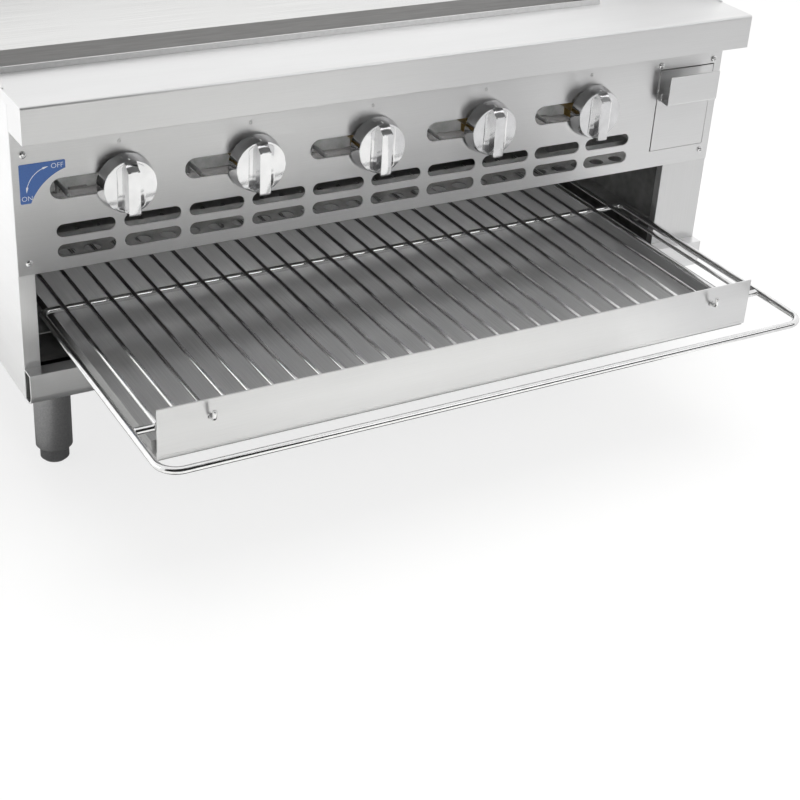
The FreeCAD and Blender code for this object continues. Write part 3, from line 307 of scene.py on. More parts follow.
def plated(name, dark, pale, low, high, grain=18):
    # Bright plating over steel or zinc: near mirror, with the faint unevenness of the buffing below it,
    # whose waves are `grain` millimetres long.
    material, tree, shader = startMaterial(name, 1.0, low)
    spots = addNode(tree, "ShaderNodeTexCoord").outputs["Object"]
    pattern = {"Vector": spots, "Scale": 1000 / grain, "Detail": 3.0}
    waves = addNode(tree, "ShaderNodeTexNoise", inputs=pattern).outputs["Fac"]
    tree.links.new(between(tree, waves, dark, pale), shader.inputs["Base Color"])
    tree.links.new(between(tree, waves, low, high), shader.inputs["Roughness"])
    return material


def coated(name, dark, pale, metallic, low, high, grain, bumpDepth):
    # A finish with a fine grain of its own, such as black iron, cast brass or satin plate: `grain` is its
    # size in millimetres, bumpDepth its depth in metres, and the rough specks are the paler ones.
    material, tree, shader = startMaterial(name, metallic, low)
    spots = addNode(tree, "ShaderNodeTexCoord").outputs["Object"]
    pattern = {"Vector": spots, "Scale": 1000 / grain, "Detail": 4.0, "Roughness": 0.6}
    speckle = addNode(tree, "ShaderNodeTexNoise", inputs=pattern).outputs["Fac"]
    tree.links.new(between(tree, speckle, dark, pale), shader.inputs["Base Color"])
    tree.links.new(between(tree, speckle, low, high), shader.inputs["Roughness"])
    relief = {"Strength": 0.3, "Distance": bumpDepth, "Height": speckle}
    bump = addNode(tree, "ShaderNodeBump", inputs=relief)
    tree.links.new(bump.outputs[0], shader.inputs["Normal"])
    return material


linerSheet = aluminisedSheet()
griddleSteel = groundSteel()
traySheet = dripTraySheet()
# Near mirrors: the dials' buffed chrome, and the duller one of the rods.
knobChrome = plated("zinc die casting, chrome plated", "d2d2d3", "dfdfe0", 0.05, 0.1)
wireChrome = plated("steel rod, nickel-chrome plated", "e0e0e0", "ededed", 0.08, 0.16, 9)
# Deep black with a broken, lacquered shine.
blackIron = coated("black iron pipe, lacquered", "191919", "2b2a29", 0.0, 0.4, 0.6, 3, 0.0002)
# Warm yellow metal, darker and browner than new brass.
castBrass = coated("cast brass, machined", "86703f", "9c8450", 1.0, 0.25, 0.4, 4, 0.0001)
# Dull grey tubes, the thin ones paler and smoother.
burnerTube = coated("aluminised steel tube, drawn", "7b7a78", "989795", 0.9, 0.35, 0.5, 5, 0.0001)
pilotTube = coated("aluminium tube, drawn", "b4b5b6", "cacbcc", 1.0, 0.25, 0.38, 4, 0.00005)
# Satin greys that spread a lamp to a broad soft band, the foot darker than its leg.
legSteel = coated("steel leg, satin grey plate", "878788", "9b9b9c", 0.75, 0.36, 0.46, 2, 0.00008)
footSteel = coated("screw foot, dark satin plate", "79797a", "8b8b8c", 0.6, 0.4, 0.5, 2, 0.00008)
# An even, milky metal, without lines.
troughSteel = coated("stainless sheet, mill finish", "dcdcdc", "e8e8e8", 0.75, 0.34, 0.42, 6, 0.00002)
# Flat printed colours under a half-gloss film.
labelInk = coated("polyester label, printed blue", "3a5c9b", "446aa8", 0.0, 0.42, 0.52, 1.2, 0.00003)
labelWhite = coated("polyester label, bare white print", "dcdfe2", "eef0f1", 0.0, 0.42, 0.52, 1.2, 0.00003)
# A glossy white with slight ripples.
whiteStroke = coated("glossy white, rippled", "ececec", "fafafa", 0.0, 0.3, 0.4, 1.5, 0.00005)

finishes = [
    (frontSteel, "control_panel front_ledge front_base_rail drawer_front drawer_handle rack_front_plate"),
    (frontSteel, "back_splash"),
    (troughSteel, "grease_trough grease_chute"),
    (depthSteel, "left_side_panel right_side_panel left_splash right_splash grease_drawer"),
    (shadedUprightSteel, "left_front_post right_front_post back_panel"),
    (linerSheet, "left_liner right_liner rear_liner left_runner right_runner perforated_baffle base_pan"),
    (linerSheet, "front_burner_rail rear_burner_rail drawer_runners"),
    (traySheet, "drip_tray"),
    (griddleSteel, "griddle_plate"),
    (wireChrome, "broiler_rack panel_screws"),
    (blackIron, "gas_inlet gas_manifold"),
    (castBrass, " ".join(f"valve_{k} valve_stem_{k}" for k in range(1, 6))),
    (burnerTube, " ".join(f"burner_{k}" for k in range(1, 6))),
    (pilotTube, "pilot_lights"),
    (knobChrome, " ".join(f"knob_{k}" for k in range(1, 6))),
    (legSteel, "leg_tubes"),
    (footSteel, " ".join(f"foot_{k}" for k in range(1, 5))),
    (labelInk, "dial_label"),
]
for material, names in finishes:
    for name in names.split():
        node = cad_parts[name]
        node.data.materials.clear()
        node.data.materials.append(material)
print("materials on the carried-over parts")


# Dials: a domed chrome cap with a bar across it and a hollow on each side of the bar

dial = {
    "face": 29.2,  # radius of the face
    "skirt": 32.5,  # radius of the skirt
    "depth": 16.0,  # skirt to face
    "gap": 3.5,  # panel to skirt
    "dome": 0.7,  # how much the face bulges
    "barHalf": 6.5,  # half the bar's width
    "barRise": 11.0,  # the bar's front over the face
    "barCrown": 0.35,  # how much the bar's front bulges across
    "barTaper": 0.5,  # how far a wall of the bar leans
    "slant": 9.0,  # sloping upper end of the bar
    "slantEase": 0.12,  # share of the slant over which it levels out
    "bevel": 2.2,  # rounded lower end of the bar
    "hollowWidth": 9.0,
    "hollowDepth": 3.6,
    "hollowFade": 2.5,  # flat rim beside a hollow, and the width of the slope down from it
    "floor": 0.4,  # how far the cap's edge is sunk into the skirt
    "wall": 2.2,  # of the skirt
    "faceWall": 6.0,  # face to the hollow behind it
    "hub": 9.0,  # radius of the hub
    "hubSunk": 0.5,  # in that wall
    "stem": 4.1,  # radius of the hub's bore
}


def dialCap(x, z):
    # Height over the face at (u, w): dome * (1 - r^2 / R^2), less a hollow beside the bar whose depth
    # falls from the bar outwards, or the bar's own height, which drops along the slant at its upper end.
    # Columns stand close together at the bar's walls and the hollow's edge, rows at the bar's two ends.
    d = dial
    radius = d["face"]
    half = d["barHalf"]
    edge = half + d["hollowWidth"]
    right = np.concatenate([
        np.linspace(0, half - 0.5, 5),
        [half - 0.15, half, half + d["barTaper"], half + d["barTaper"] + 0.25],
        np.linspace(half + 1.6, edge - 0.5, 6),
        [edge - 0.15, edge, edge + 0.3],
        np.linspace(edge + 1.2, radius, 10),
    ])
    u = np.concatenate([-right[:0:-1], right])
    t = np.concatenate([[-1, -0.997], np.linspace(-0.985, -0.8, 12), np.linspace(-0.75, 0.3, 12)])
    t = np.concatenate([t, np.linspace(0.34, 0.985, 28), [0.997, 1]])
    halfChord = np.sqrt(np.maximum(radius**2 - u**2, 0))
    grids = np.meshgrid(t, u, indexing="ij")
    w = grids[0] * halfChord
    across = np.abs(grids[1])
    r = np.hypot(across, w)
    face = d["dome"] * (1 - (r / radius) ** 2)
    inHollow = np.clip((edge - across) / d["hollowWidth"], 0, 1)
    fade = np.clip((radius - d["hollowFade"] - r) / d["hollowFade"], 0, 1)
    face = face - d["hollowDepth"] * inHollow * fade
    top = d["barRise"] - d["barCrown"] * (across / half) ** 2
    fromTop = radius - w
    slope = np.clip(fromTop / d["slant"], 0, 1)
    ease = np.where(slope > 1 - d["slantEase"], 1 - (1 - slope) ** 2 / (2 * d["slantEase"]), slope)
    bar = face * (1 - slope) + top * np.clip(ease, 0, 1)
    fromBottom = np.clip((w + radius) / d["bevel"], 0, 1)
    bar = bar - d["bevel"] * (1 - np.sqrt(1 - (1 - fromBottom) ** 2))
    blend = np.clip((half + d["barTaper"] - across) / d["barTaper"], 0, 1)
    height = face * (1 - blend) + bar * blend
    height[0], height[-1] = -d["floor"], -d["floor"]
    front = panelFace - d["gap"] - d["depth"]
    upper = np.stack([x + grids[1], front - height, z + w], axis=-1)
    lower = upper.copy()
    lower[:, :, 1] = front + d["floor"]
    return [grid(upper), grid(lower[[0, -1]])]


def dialSkirt(x, z):
    # The skirt and the hollow behind it, turned: a thin cone with rounded rims, and a hub round the stem.
    # Each (y, radius) pair is a corner of the section.
    d = dial
    back = panelFace - d["gap"]
    front = back - d["depth"]
    shell = [
        (back, d["skirt"] - d["wall"]),
        (back, d["skirt"] - 0.5),
        (back - 0.15, d["skirt"] - 0.15),
        (back - 0.5, d["skirt"]),
        (front + 1.1, d["face"] + 0.3),
        (front + 0.5, d["face"] + 0.1),
        (front + 0.12, d["face"] - 0.2),
        (front, d["face"] - 0.7),
        (front, 0),
        (front + d["faceWall"], 0),
        (front + d["faceWall"], d["face"] - d["wall"]),
    ]
    root = front + d["faceWall"] - d["hubSunk"]
    hub = [(back, d["stem"]), (back, d["hub"]), (root, d["hub"]), (root, d["stem"])]
    return [turned(shell, (x, 0, z), 96), turned(hub, (x, 0, z), 48)]


mark = {
    "toFace": 4.7,  # the stroke's middle to the dial's face
    "halfWidth": 1.15,
    "halfLength": 3.0,
    "rise": 0.55,
    "sunk": 0.15,
    "lean": 0.2,  # how much lower its back end lies than its middle
    "root": 0.4,  # depth of its foot in the skirt
}


def dialMark(x, z):
    # A short raised white stroke across the top of the skirt: half an ellipsoid standing on the cone.
    m = mark
    u = np.linspace(0, 2 * math.pi, 24, endpoint=False)
    v = np.linspace(0, math.pi / 2, 8)
    a, b = np.meshgrid(v, u, indexing="ij")
    middle = panelFace - dial["gap"] - (dial["depth"] - m["toFace"])
    radius = dial["face"] + (dial["skirt"] - dial["face"]) * m["toFace"] / dial["depth"]
    spots = np.stack([
        x + m["halfWidth"] * np.cos(a) * np.cos(b),
        middle + m["halfLength"] * np.cos(a) * np.sin(b),
        z + radius - m["sunk"] + m["rise"] * np.sin(a) - m["lean"] * np.cos(a) * np.sin(b),
    ], axis=-1)
    base = spots[:1].copy()
    base[..., 2] -= m["root"]
    centre = np.repeat(base.mean(axis=1, keepdims=True), 24, 1)
    return [grid(np.concatenate([centre, base, spots]), closeColumns=True)]


for number in range(1, 6):
    low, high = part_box(f"knob_{number}")
    x, z = (low[0] + high[0]) / 2 / mm, (low[2] + high[2]) / 2 / mm
    body = f"dial_{number}"
    piece(f"dialCap{number}", dialCap(x, z) + dialSkirt(x, z), knobChrome, body, [f"knob_{number}"], 28)
    piece(f"dialMark{number}", dialMark(x, z), whiteStroke, body)
print("dials")


# Rack: plated rods bent and welded, with two wires that end in a hook before the plate

rack = {
    "middle": -25.2,
    "railHalf": 396.0,  # frame's sides from the middle
    "rail": 4.0,  # radius of the frame's rod
    "level": 181.0,  # height of the frame's axis
    "corner": 22.0,  # frame's front corners
    "rearCorner": 10.0,
    "front": -309.0,  # from the panel
    "far": 50.0,  # the frame's rear side, that the wires pass over
    "back": 236.6,  # the wires' rear ends
    "crossRear": 230.0,  # rod under the wires' rear ends
    "crossRadius": 3.5,
    "near": -226.0,  # rod across the frame, below the wires' front ends
    "crossGap": 2.5,  # frame's axis to the cut end of that rod
    "wire": 2.5,  # radius of a wire
    "wireLevel": 186.5,
    "pitch": 27.5,  # wire to wire
    "count": 28,
    "hooks": (2, 25),  # which wires run on and end in a hook
    "hookStart": -241.0,
    "hookBend": 5.0,  # radius of its bend
    "hookRise": 6.0,  # of its tip over the bend
}


def flatPath(points, level):
    # (x, y) points, y from the panel, as a path at one height.
    points = np.asarray(points, float)
    return np.column_stack([points[:, 0], points[:, 1] + panelFace, np.full(len(points), level)])


def cornered(x0, x1, y0, y1, frontCorner, rearCorner):
    # A closed loop with quarter circles at its corners.
    return np.concatenate([
        arc((x0 + frontCorner, y0 + frontCorner), frontCorner, 180, 270, 12),
        arc((x1 - frontCorner, y0 + frontCorner), frontCorner, 270, 360, 12),
        arc((x1 - rearCorner, y1 - rearCorner), rearCorner, 0, 90, 10),
        arc((x0 + rearCorner, y1 - rearCorner), rearCorner, 90, 180, 10),
    ])


def closedTube(path, radius, sides):
    # A rod bent into a closed flat loop: rings across its tangent, the last joined to the first.
    step = np.roll(path, -1, 0) - np.roll(path, 1, 0)
    step /= np.linalg.norm(step, axis=1)[:, None]
    across = np.cross(step, (0, 0, 1))
    turn = np.linspace(0, 2 * math.pi, sides, endpoint=False)
    up = np.array([0, 0, 1.0])
    ring = np.cos(turn)[None, :, None] * across[:, None] + np.sin(turn)[None, :, None] * up
    return grid(path[:, None] + radius * ring, closeRows=True, closeColumns=True)


def rackPatches():
    # The frame, a rod across it below each end of the wires, and the wires: each is a tube along its own
    # path, and a hooked wire's path turns up along a quarter circle before the plate.
    r = rack
    up = (0, 0, 1)
    x0, x1 = r["middle"] - r["railHalf"], r["middle"] + r["railHalf"]
    outer = flatPath(cornered(x0, x1, r["front"], r["far"], r["corner"], r["rearCorner"]), r["level"])
    patches = [closedTube(outer, r["rail"], 24)]
    near = [(x0 + r["crossGap"], r["near"]), (0, r["near"]), (x1 - r["crossGap"], r["near"])]
    patches.append(tube(flatPath(near, r["level"]), r["rail"], up, 24))
    rear = flatPath([(x0, r["crossRear"]), (0, r["crossRear"]), (x1, r["crossRear"])], r["level"])
    patches.append(tube(rear, r["crossRadius"], up, 20))
    for index in range(r["count"]):
        x = r["middle"] + (index - (r["count"] - 1) / 2) * r["pitch"]
        back = np.array([[x, r["back"] + panelFace, r["wireLevel"]]])
        middle = np.array([[x, panelFace, r["wireLevel"]]])
        if index in r["hooks"]:
            bend = arc((r["hookStart"], r["wireLevel"] + r["hookBend"]), r["hookBend"], 180, 270, 9)
            curve = np.column_stack([np.full(9, x), bend[:, 0] + panelFace, bend[:, 1]])
            tip = curve[:1] + (0, 0, r["hookRise"])
            path = np.concatenate([tip, curve, middle, back])
        else:
            start = np.array([[x, r["near"] - r["rail"] + panelFace, r["wireLevel"]]])
            path = np.concatenate([start, middle, back])
        patches.append(tube(path, r["wire"], (1, 0, 0), 16))
    return patches


piece("rackRods", rackPatches(), wireChrome, "rack", ["broiler_rack"], 50)


fold = {"proud": 0.14, "depth": 3.0, "returnFront": 3.3, "returnBack": 2.9, "inset": 0.05}


def plateFold():
    # The fold along the lower edge of the rack's plate: a half round as thick as the sheet and its return.
    low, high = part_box("rack_front_plate")
    front, back = low[1] / mm - fold["proud"], low[1] / mm + fold["depth"]
    radius = (back - front) / 2
    curve = arc(((front + back) / 2, low[2] / mm + radius), radius, 180, 360, 14)
    backCorner = (back, low[2] / mm + fold["returnBack"])
    frontCorner = (front + fold["inset"], low[2] / mm + fold["returnFront"])
    outline = np.concatenate([curve, [backCorner, frontCorner]])
    return [flatBar(outline, low[0] / mm + fold["inset"], high[0] / mm - fold["inset"], "x")]


piece("rackPlateFold", plateFold(), frontSteel, "rack", (), 30)
print("rack")


# Pilot lights: a thin tube above the manifold, front to back, that shows in each pilot slot

pilot = {
    "fromDial": -56.0,  # along x
    "radius": 2.3,
    "level": 336.0,
    "front": 4.0,  # from the panel
    "back": 110.0,
    "riserAt": 42.0,
    "riserFoot": 323.5,  # in the manifold
    "riserMiddle": 330.0,
}


def pilotPatches(x):
    # A straight tube front to back, and a riser up to it from the manifold.
    p = pilot
    run = np.array([[x, y + panelFace, p["level"]] for y in (p["front"], p["riserAt"], p["back"])])
    levels = (p["riserFoot"], p["riserMiddle"], p["level"])
    riser = np.array([[x, p["riserAt"] + panelFace, z] for z in levels])
    return [tube(run, p["radius"], (1, 0, 0)), tube(riser, p["radius"], (1, 0, 0))]


dialPlaces = [-341.5 + 150 * k for k in range(5)]  # x of each dial
tubes = [patch for x in dialPlaces for patch in pilotPatches(x + pilot["fromDial"])]
piece("pilotTubes", tubes, pilotTube, "body", ["pilot_lights"], 50)


# Screws of the control panel: domed heads with a cross recess

screw = {
    "radius": 4.0,
    "rise": 2.2,
    "rim": 0.45,  # height of its edge
    "slotHalf": 0.55,
    "slotSlope": 0.18,
    "slotReach": 2.3,
    "slotFade": 0.7,
    "slotDepth": 1.1,
    "firstTwist": 0.35,  # radians, and how much more each next one is turned
    "nextTwist": 0.9,
}
screwPlaces = [(-445, 389), (-445, 268), (363, 389), (445, 389), (445, 268)]  # x and z


def screwHead(x, z, twist):
    # Height over the panel at radius r: rim + (rise - rim) * sqrt(1 - (r / R)^2), less the cross,
    # whose depth fades from its middle to the ends of its four arms.
    s = screw
    dome = np.linspace(2.8, s["radius"] - 0.15, 7)
    r = np.concatenate([np.linspace(0, 2.6, 22), dome, [s["radius"]] * 2])
    turn = np.linspace(0, 2 * math.pi, 96, endpoint=False)
    rr, aa = np.meshgrid(r, turn, indexing="ij")
    u, v = rr * np.cos(aa - twist), rr * np.sin(aa - twist)
    height = s["rim"] + (s["rise"] - s["rim"]) * np.sqrt(np.maximum(1 - (rr / s["radius"]) ** 2, 0))
    arm = np.minimum(np.abs(u), np.abs(v))
    inArm = np.clip((s["slotHalf"] - arm) / s["slotSlope"] + 0.5, 0, 1)
    height -= s["slotDepth"] * (inArm * np.clip((s["slotReach"] - rr) / s["slotFade"], 0, 1))
    height[-1] = 0
    spots = np.stack([x + rr * np.cos(aa), panelFace - height, z + rr * np.sin(aa)], axis=-1)
    base = spots[-1:].copy()
    centre = np.repeat(base.mean(axis=1, keepdims=True), 96, 1)
    return grid(np.concatenate([spots, centre]), closeColumns=True)


twists = [screw["firstTwist"] + screw["nextTwist"] * k for k in range(len(screwPlaces))]
heads = [screwHead(x, z, twist) for (x, z), twist in zip(screwPlaces, twists)]
piece("panelScrewHeads", heads, wireChrome, "body", ["panel_screws"], 30)


ring = {"level": 390, "reach": 1.6, "half": 0.55, "proud": 0.1, "rise": 0.4}


def dotRing(x, z):
    # A small embossed ring above each dial: a flattened torus whose axis stands a little proud of the panel.
    turn = np.linspace(0, 2 * math.pi, 32, endpoint=False)
    around = np.linspace(0, 2 * math.pi, 10, endpoint=False)
    a, b = np.meshgrid(turn, around, indexing="ij")
    reach = ring["reach"] + ring["half"] * np.cos(b)
    y = panelFace - ring["proud"] - ring["rise"] * np.sin(b)
    spots = np.stack([x + reach * np.cos(a), y, z + reach * np.sin(a)], axis=-1)
    return grid(spots, closeRows=True, closeColumns=True)


piece("dialRings", [dotRing(x, ring["level"]) for x in dialPlaces], frontSteel, "body", (), 60)
print("screws and rings")


# Printed label: blue with ON and OFF and a curved arrow between them

label = {
    "left": -450.0,
    "right": -400.8,
    "bottom": 335.2,
    "top": 378.6,
    "foot": -438.9,  # x where the curve starts
    "waist": (-425.4, 354.9),  # a point on the curve
    "shoulder": 369.4,  # z where the curve ends
    "corner": 1.4,
    "thickness": 0.2,
    "inkRise": 0.03,
    "inkSunk": 0.02,  # how far the print reaches into the sheet
    "letterDepth": 0.02,  # of a letter one unit high, as is the next
    "letterThin": -0.016,
    "words": [("labelWordOn", "ON", -448.4, 338.4, 5.1), ("labelWordOff", "OFF", -415.9, 370.6, 5.2)],
    "arrow": [(-443.0, 346.9), (-437.4, 362.6), (-418.8, 373.2)],  # tip, middle, tip
    "arrowHead": 7.0,
    "arrowLine": 0.32,  # half its width
}


def circleThrough(p, q, s):
    # Centre and radius of the circle through three points, from the two equations of equal distance.
    p, others = np.asarray(p), np.array([q, s])
    centre = np.linalg.solve(2 * (others - p), (others**2).sum(axis=1) - (p**2).sum())
    return centre, float(np.hypot(*(centre - p)))


def labelSheet():
    # The outline, counter-clockwise in x and z, with three round corners and a hollow curve below right.
    s = label
    c = s["corner"]
    p, q, e = (s["foot"], s["bottom"]), s["waist"], (s["right"], s["shoulder"])
    centre, radius = circleThrough(p, q, e)
    start = math.degrees(math.atan2(p[1] - centre[1], p[0] - centre[0])) % 360
    end = math.degrees(math.atan2(e[1] - centre[1], e[0] - centre[0])) % 360
    outline = np.concatenate([
        arc((s["left"] + c, s["bottom"] + c), c, 180, 270, 8),
        arc(centre, radius, start, end, 40),
        arc((s["right"] - c, s["top"] - c), c, 0, 90, 8),
        arc((s["left"] + c, s["top"] - c), c, 90, 180, 8),
    ])
    return [flatBar(outline, panelFace - s["thickness"], panelFace, "y")]


def wordMesh(name, text, x, z, height):
    # A word as a mesh: its letters' plane is turned to face the front, then it is placed by its lower left
    # corner and scaled to its height.
    curve = bpy.data.curves.new(name, "FONT")
    curve.body = text
    curve.extrude = label["letterDepth"]
    curve.offset = label["letterThin"]
    holder = bpy.data.objects.new(name + "Text", curve)
    bpy.context.scene.collection.objects.link(holder)
    bpy.context.view_layer.update()
    letters = bpy.data.meshes.new_from_object(holder.evaluated_get(bpy.context.evaluated_depsgraph_get()))
    bpy.data.objects.remove(holder)
    points = np.empty(len(letters.vertices) * 3)
    letters.vertices.foreach_get("co", points)
    points = points.reshape(-1, 3)
    low, high = points.min(axis=0), points.max(axis=0)
    scale = height / (high[1] - low[1])
    face = panelFace - label["thickness"] - label["inkRise"]
    placed = np.column_stack([
        x + (points[:, 0] - low[0]) * scale,
        face - (points[:, 2] - low[2]) + label["inkSunk"],
        z + (points[:, 1] - low[1]) * scale,
    ]) * mm
    letters.vertices.foreach_set("co", placed.ravel())
    letters.update()
    thing = bpy.data.objects.new(name, letters)
    bpy.context.scene.collection.objects.link(thing)
    letters.materials.clear()
    letters.materials.append(labelWhite)
    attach(thing, "body")


def arrowPatches():
    # A thin ribbon along a circle through three points, with a slim arrowhead on each end.
    tipA, middle, tipB = np.array(label["arrow"])
    centre, radius = circleThrough(tipA, middle, tipB)
    angleA = math.degrees(math.atan2(*(tipA - centre)[::-1])) % 360
    angleB = math.degrees(math.atan2(*(tipB - centre)[::-1])) % 360
    span = math.copysign(math.degrees(label["arrowHead"] / radius), angleB - angleA)
    front = panelFace - label["thickness"] - label["inkRise"]
    back = panelFace - label["thickness"] + label["inkSunk"]

    def ribbon(angles, halfWidths):
        # Points on both sides of the circle, half a width in and out.
        turn = np.radians(angles)
        spoke = np.stack([np.cos(turn), np.sin(turn)], axis=1)
        outer = centre + spoke * (radius + halfWidths)[:, None]
        inner = centre + spoke * (radius - halfWidths)[:, None]
        return flatBar(np.concatenate([outer, inner[::-1]]), front, back, "y")

    line = np.linspace(angleA + 0.8 * span, angleB - 0.8 * span, 30)
    along = np.array([0, 0.35, 0.8, 0.9, 1.0])  # of the arrowhead, from its tip
    slim = np.array([0.02, 0.5, 1.1, 0.9, 0.3])  # half its width there
    thin = np.full(len(line), label["arrowLine"])
    return [ribbon(line, thin), ribbon(angleA + span * along, slim), ribbon(angleB - span * along, slim)]


piece("dialLabelSheet", labelSheet(), labelInk, "body", ["dial_label"], 30)
for word in label["words"]:
    wordMesh(*word)
piece("labelArrow", arrowPatches(), labelWhite, "body", (), 30)
print("label")


# Studio: a pale floor, a white surround, softboxes, and cards round it that the metal reflects

studio = {
    "floorHalf": 9.0,  # metres
    "floorPaint": "f4f4f2",
    "shadowSeen": 0.22,  # how much of the floor's own light the camera sees under its white
    "shadowMirrored": 0.9,  # the same where metal reflects the floor
    "worldLight": 0.55,  # the surround's light on the object
}


def addStaged(name, corners, material):
    # A flat four-cornered sheet that isn't part of the object.
    mesh = bpy.data.meshes.new(name)
    mesh.from_pydata(corners, [], [(0, 1, 2, 3)])
    mesh.materials.append(material)
    thing = bpy.data.objects.new(name, mesh)
    bpy.context.scene.collection.objects.link(thing)
    return thing


def seenDirectly(tree):
    # 1 where a camera, glossy or transmission ray looks, so that metal shows the same white as the camera.
    rays = addNode(tree, "ShaderNodeLightPath").outputs
    seen = rays["Is Camera Ray"]
    for other in ("Is Glossy Ray", "Is Transmission Ray"):
        pair = {0: seen, 1: rays[other]}
        seen = addNode(tree, "ShaderNodeMath", {"operation": "MAXIMUM"}, pair).outputs[0]
    return seen


def floorMaterial():
    # White seamless paper: its own lit surface, mostly lifted to plain white where it is looked at. The
    # share of plain white is max(camera, transmission) * (1 - shadowSeen) + glossy * (1 - shadowMirrored).
    material = bpy.data.materials.new("seamless paper, matt white")
    material.use_nodes = True
    tree = material.node_tree
    tree.nodes.remove(tree.nodes["Principled BSDF"])
    paper = addNode(tree, "ShaderNodeBsdfDiffuse", inputs={"Color": toLinear(studio["floorPaint"])})
    white = addNode(tree, "ShaderNodeEmission", inputs={"Color": (1, 1, 1, 1), "Strength": 1.0})
    rays = addNode(tree, "ShaderNodeLightPath").outputs
    looks = {0: rays["Is Camera Ray"], 1: rays["Is Transmission Ray"]}
    look = addNode(tree, "ShaderNodeMath", {"operation": "MAXIMUM"}, looks).outputs[0]
    lift = {0: look, 1: 1 - studio["shadowSeen"]}
    direct = addNode(tree, "ShaderNodeMath", {"operation": "MULTIPLY"}, lift).outputs[0]
    both = {0: rays["Is Glossy Ray"], 1: 1 - studio["shadowMirrored"], 2: direct}
    share = addNode(tree, "ShaderNodeMath", {"operation": "MULTIPLY_ADD"}, both).outputs[0]
    layers = {0: share, 1: paper.outputs[0], 2: white.outputs[0]}
    mixed = addNode(tree, "ShaderNodeMixShader", inputs=layers)
    tree.links.new(mixed.outputs[0], tree.nodes["Material Output"].inputs["Surface"])
    return material


def lying(x0, x1, y0, y1, z=0.004):
    # Corners of a card that lies flat, a little above the floor's paper.
    return [(x0, y0, z), (x1, y0, z), (x1, y1, z), (x0, y1, z)]


def cardMaterial(name, strength):
    # Card or cloth of one even brightness, 1 being white.
    material = bpy.data.materials.new(name)
    material.use_nodes = True
    tree = material.node_tree
    tree.nodes.remove(tree.nodes["Principled BSDF"])
    glow = addNode(tree, "ShaderNodeEmission", inputs={"Color": (1, 1, 1, 1), "Strength": strength})
    tree.links.new(glow.outputs[0], tree.nodes["Material Output"].inputs["Surface"])
    return material


def glossyCard(name, corners, strength):
    # A card that only reflections see.
    card = addStaged(name, corners, cardMaterial(name + " cloth", strength))
    card.visible_camera = False
    card.visible_diffuse = False
    card.visible_shadow = False
    card.visible_transmission = False


half = studio["floorHalf"]
addStaged("studioFloor", lying(-half, half, -half, half, 0), floorMaterial())

cards = [  # name, corners in metres, brightness
    ("darkCard", [(-4.5, -2.0, 0.1), (3.2, -2.0, 0.1), (3.2, -1.8, 4.0), (-4.5, -1.8, 4.0)], 0.03),
    ("backSoftCard", [(-3.5, 4.0, 1.2), (4.5, 4.0, 1.2), (4.5, 2.6, 4.4), (-3.5, 2.6, 4.4)], 1.15),
    ("leftSoftCard", [(-3.2, -0.4, 0.02), (-3.2, 3.6, 0.02), (-3.0, 3.6, 2.0), (-3.0, -0.4, 2.0)], 1.5),
    ("leftFloorCard", lying(-2.8, -0.6, -0.2, 2.6), 1.25),
    ("rackShade", lying(-0.46, 0.3, -0.55, -0.05), 0.15),
    ("rightFloorCard", lying(0.42, 2.4, -3.0, 0.2), 0.88),
    ("frontSoftCard", [(0.4, -1.85, 1.0), (2.4, -1.85, 1.0), (2.4, -1.75, 2.8), (0.4, -1.75, 2.8)], 1.4),
]
for name, corners, strength in cards:
    glossyCard(name, corners, strength)

world = bpy.data.worlds.new("white studio")
bpy.context.scene.world = world
world.use_nodes = True
worldTree = world.node_tree
background = worldTree.nodes["Background"]
levels = {"Value": seenDirectly(worldTree), "To Min": studio["worldLight"], "To Max": 1.0}
worldStrength = addNode(worldTree, "ShaderNodeMapRange", inputs=levels)
background.inputs["Color"].default_value = (1, 1, 1, 1)
worldTree.links.new(worldStrength.outputs[0], background.inputs["Strength"])


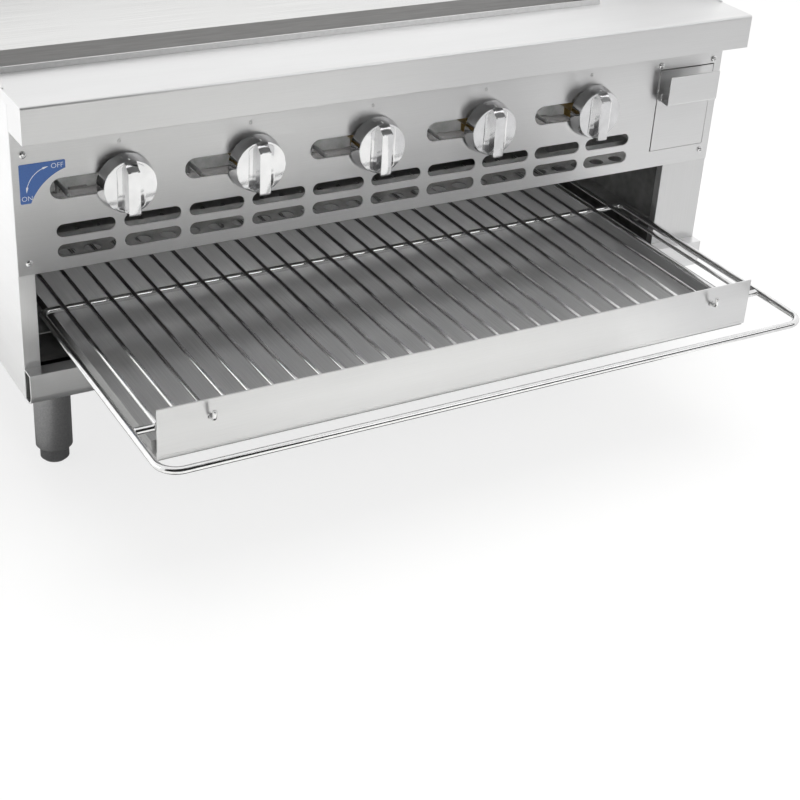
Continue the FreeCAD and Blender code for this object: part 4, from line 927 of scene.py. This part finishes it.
def softbox(name, place, target, size, power):
    # A rectangular lamp at a place, turned to a target, that neither the camera nor a reflection sees.
    lamp = bpy.data.lights.new(name, "AREA")
    lamp.shape = "RECTANGLE"
    lamp.size, lamp.size_y = size
    lamp.energy = power
    thing = bpy.data.objects.new(name, lamp)
    turn = (Vector(place) - Vector(target)).to_track_quat("Z", "Y").to_matrix().to_4x4()
    thing.matrix_world = Matrix.Translation(place) @ turn
    thing.visible_glossy = False
    thing.visible_camera = False
    bpy.context.scene.collection.objects.link(thing)


lamps = [  # name, place, target, size in metres, power in watts
    ("topSoftbox", (0.3, 0.4, 2.6), (0, 0, 0.2), (2.6, 2.0), 70.0),
    ("keySoftbox", (1.8, -2.4, 1.9), (0, 0, 0.25), (1.4, 1.4), 32.0),
    # Small fills inside, as a photographer tapes a lamp into a dark cavity.
    ("burnerFill", (0.0, -0.13, 0.372), (0.0, -0.14, 0.3), (0.84, 0.06), 3.0),
    ("slotFill", (0.0, -0.174, 0.345), (0.0, 0.1, 0.32), (0.84, 0.02), 1.4),
    ("cavityFill", (-0.025, 0.05, 0.253), (-0.025, -0.1, 0.0), (0.75, 0.25), 0.8),
]
for name, place, target, size, power in lamps:
    softbox(name, place, target, size, power)

# Camera, from the photograph: about 31 degrees to the left, 30 degrees up, and tilted by a little under 4

view = {
    "place": (-894.5, -1516.8 + panelFace, 1024.7),
    "right": (0.87181229, -0.48659109, 0.05632437),
    "down": (-0.20340639, -0.46422223, -0.86204615),
    "ahead": (0.445611, 0.74008569, -0.50369038),
    "lens": 73.105,
    "sensor": 36.0,
    "nearest": 0.05,  # metres
}
lensData = bpy.data.cameras.new("photograph")
lensData.lens = view["lens"]
lensData.sensor_width = view["sensor"]
lensData.clip_start = view["nearest"]
camera = bpy.data.objects.new("photograph", lensData)
pose = Matrix.Identity(4)
for row in range(3):
    pose[row][0] = view["right"][row]
    pose[row][1] = -view["down"][row]
    pose[row][2] = -view["ahead"][row]
    pose[row][3] = view["place"][row] * mm
camera.matrix_world = pose
bpy.context.scene.collection.objects.link(camera)
bpy.context.scene.camera = camera
bpy.context.scene.view_settings.view_transform = "Standard"
print("studio and camera")
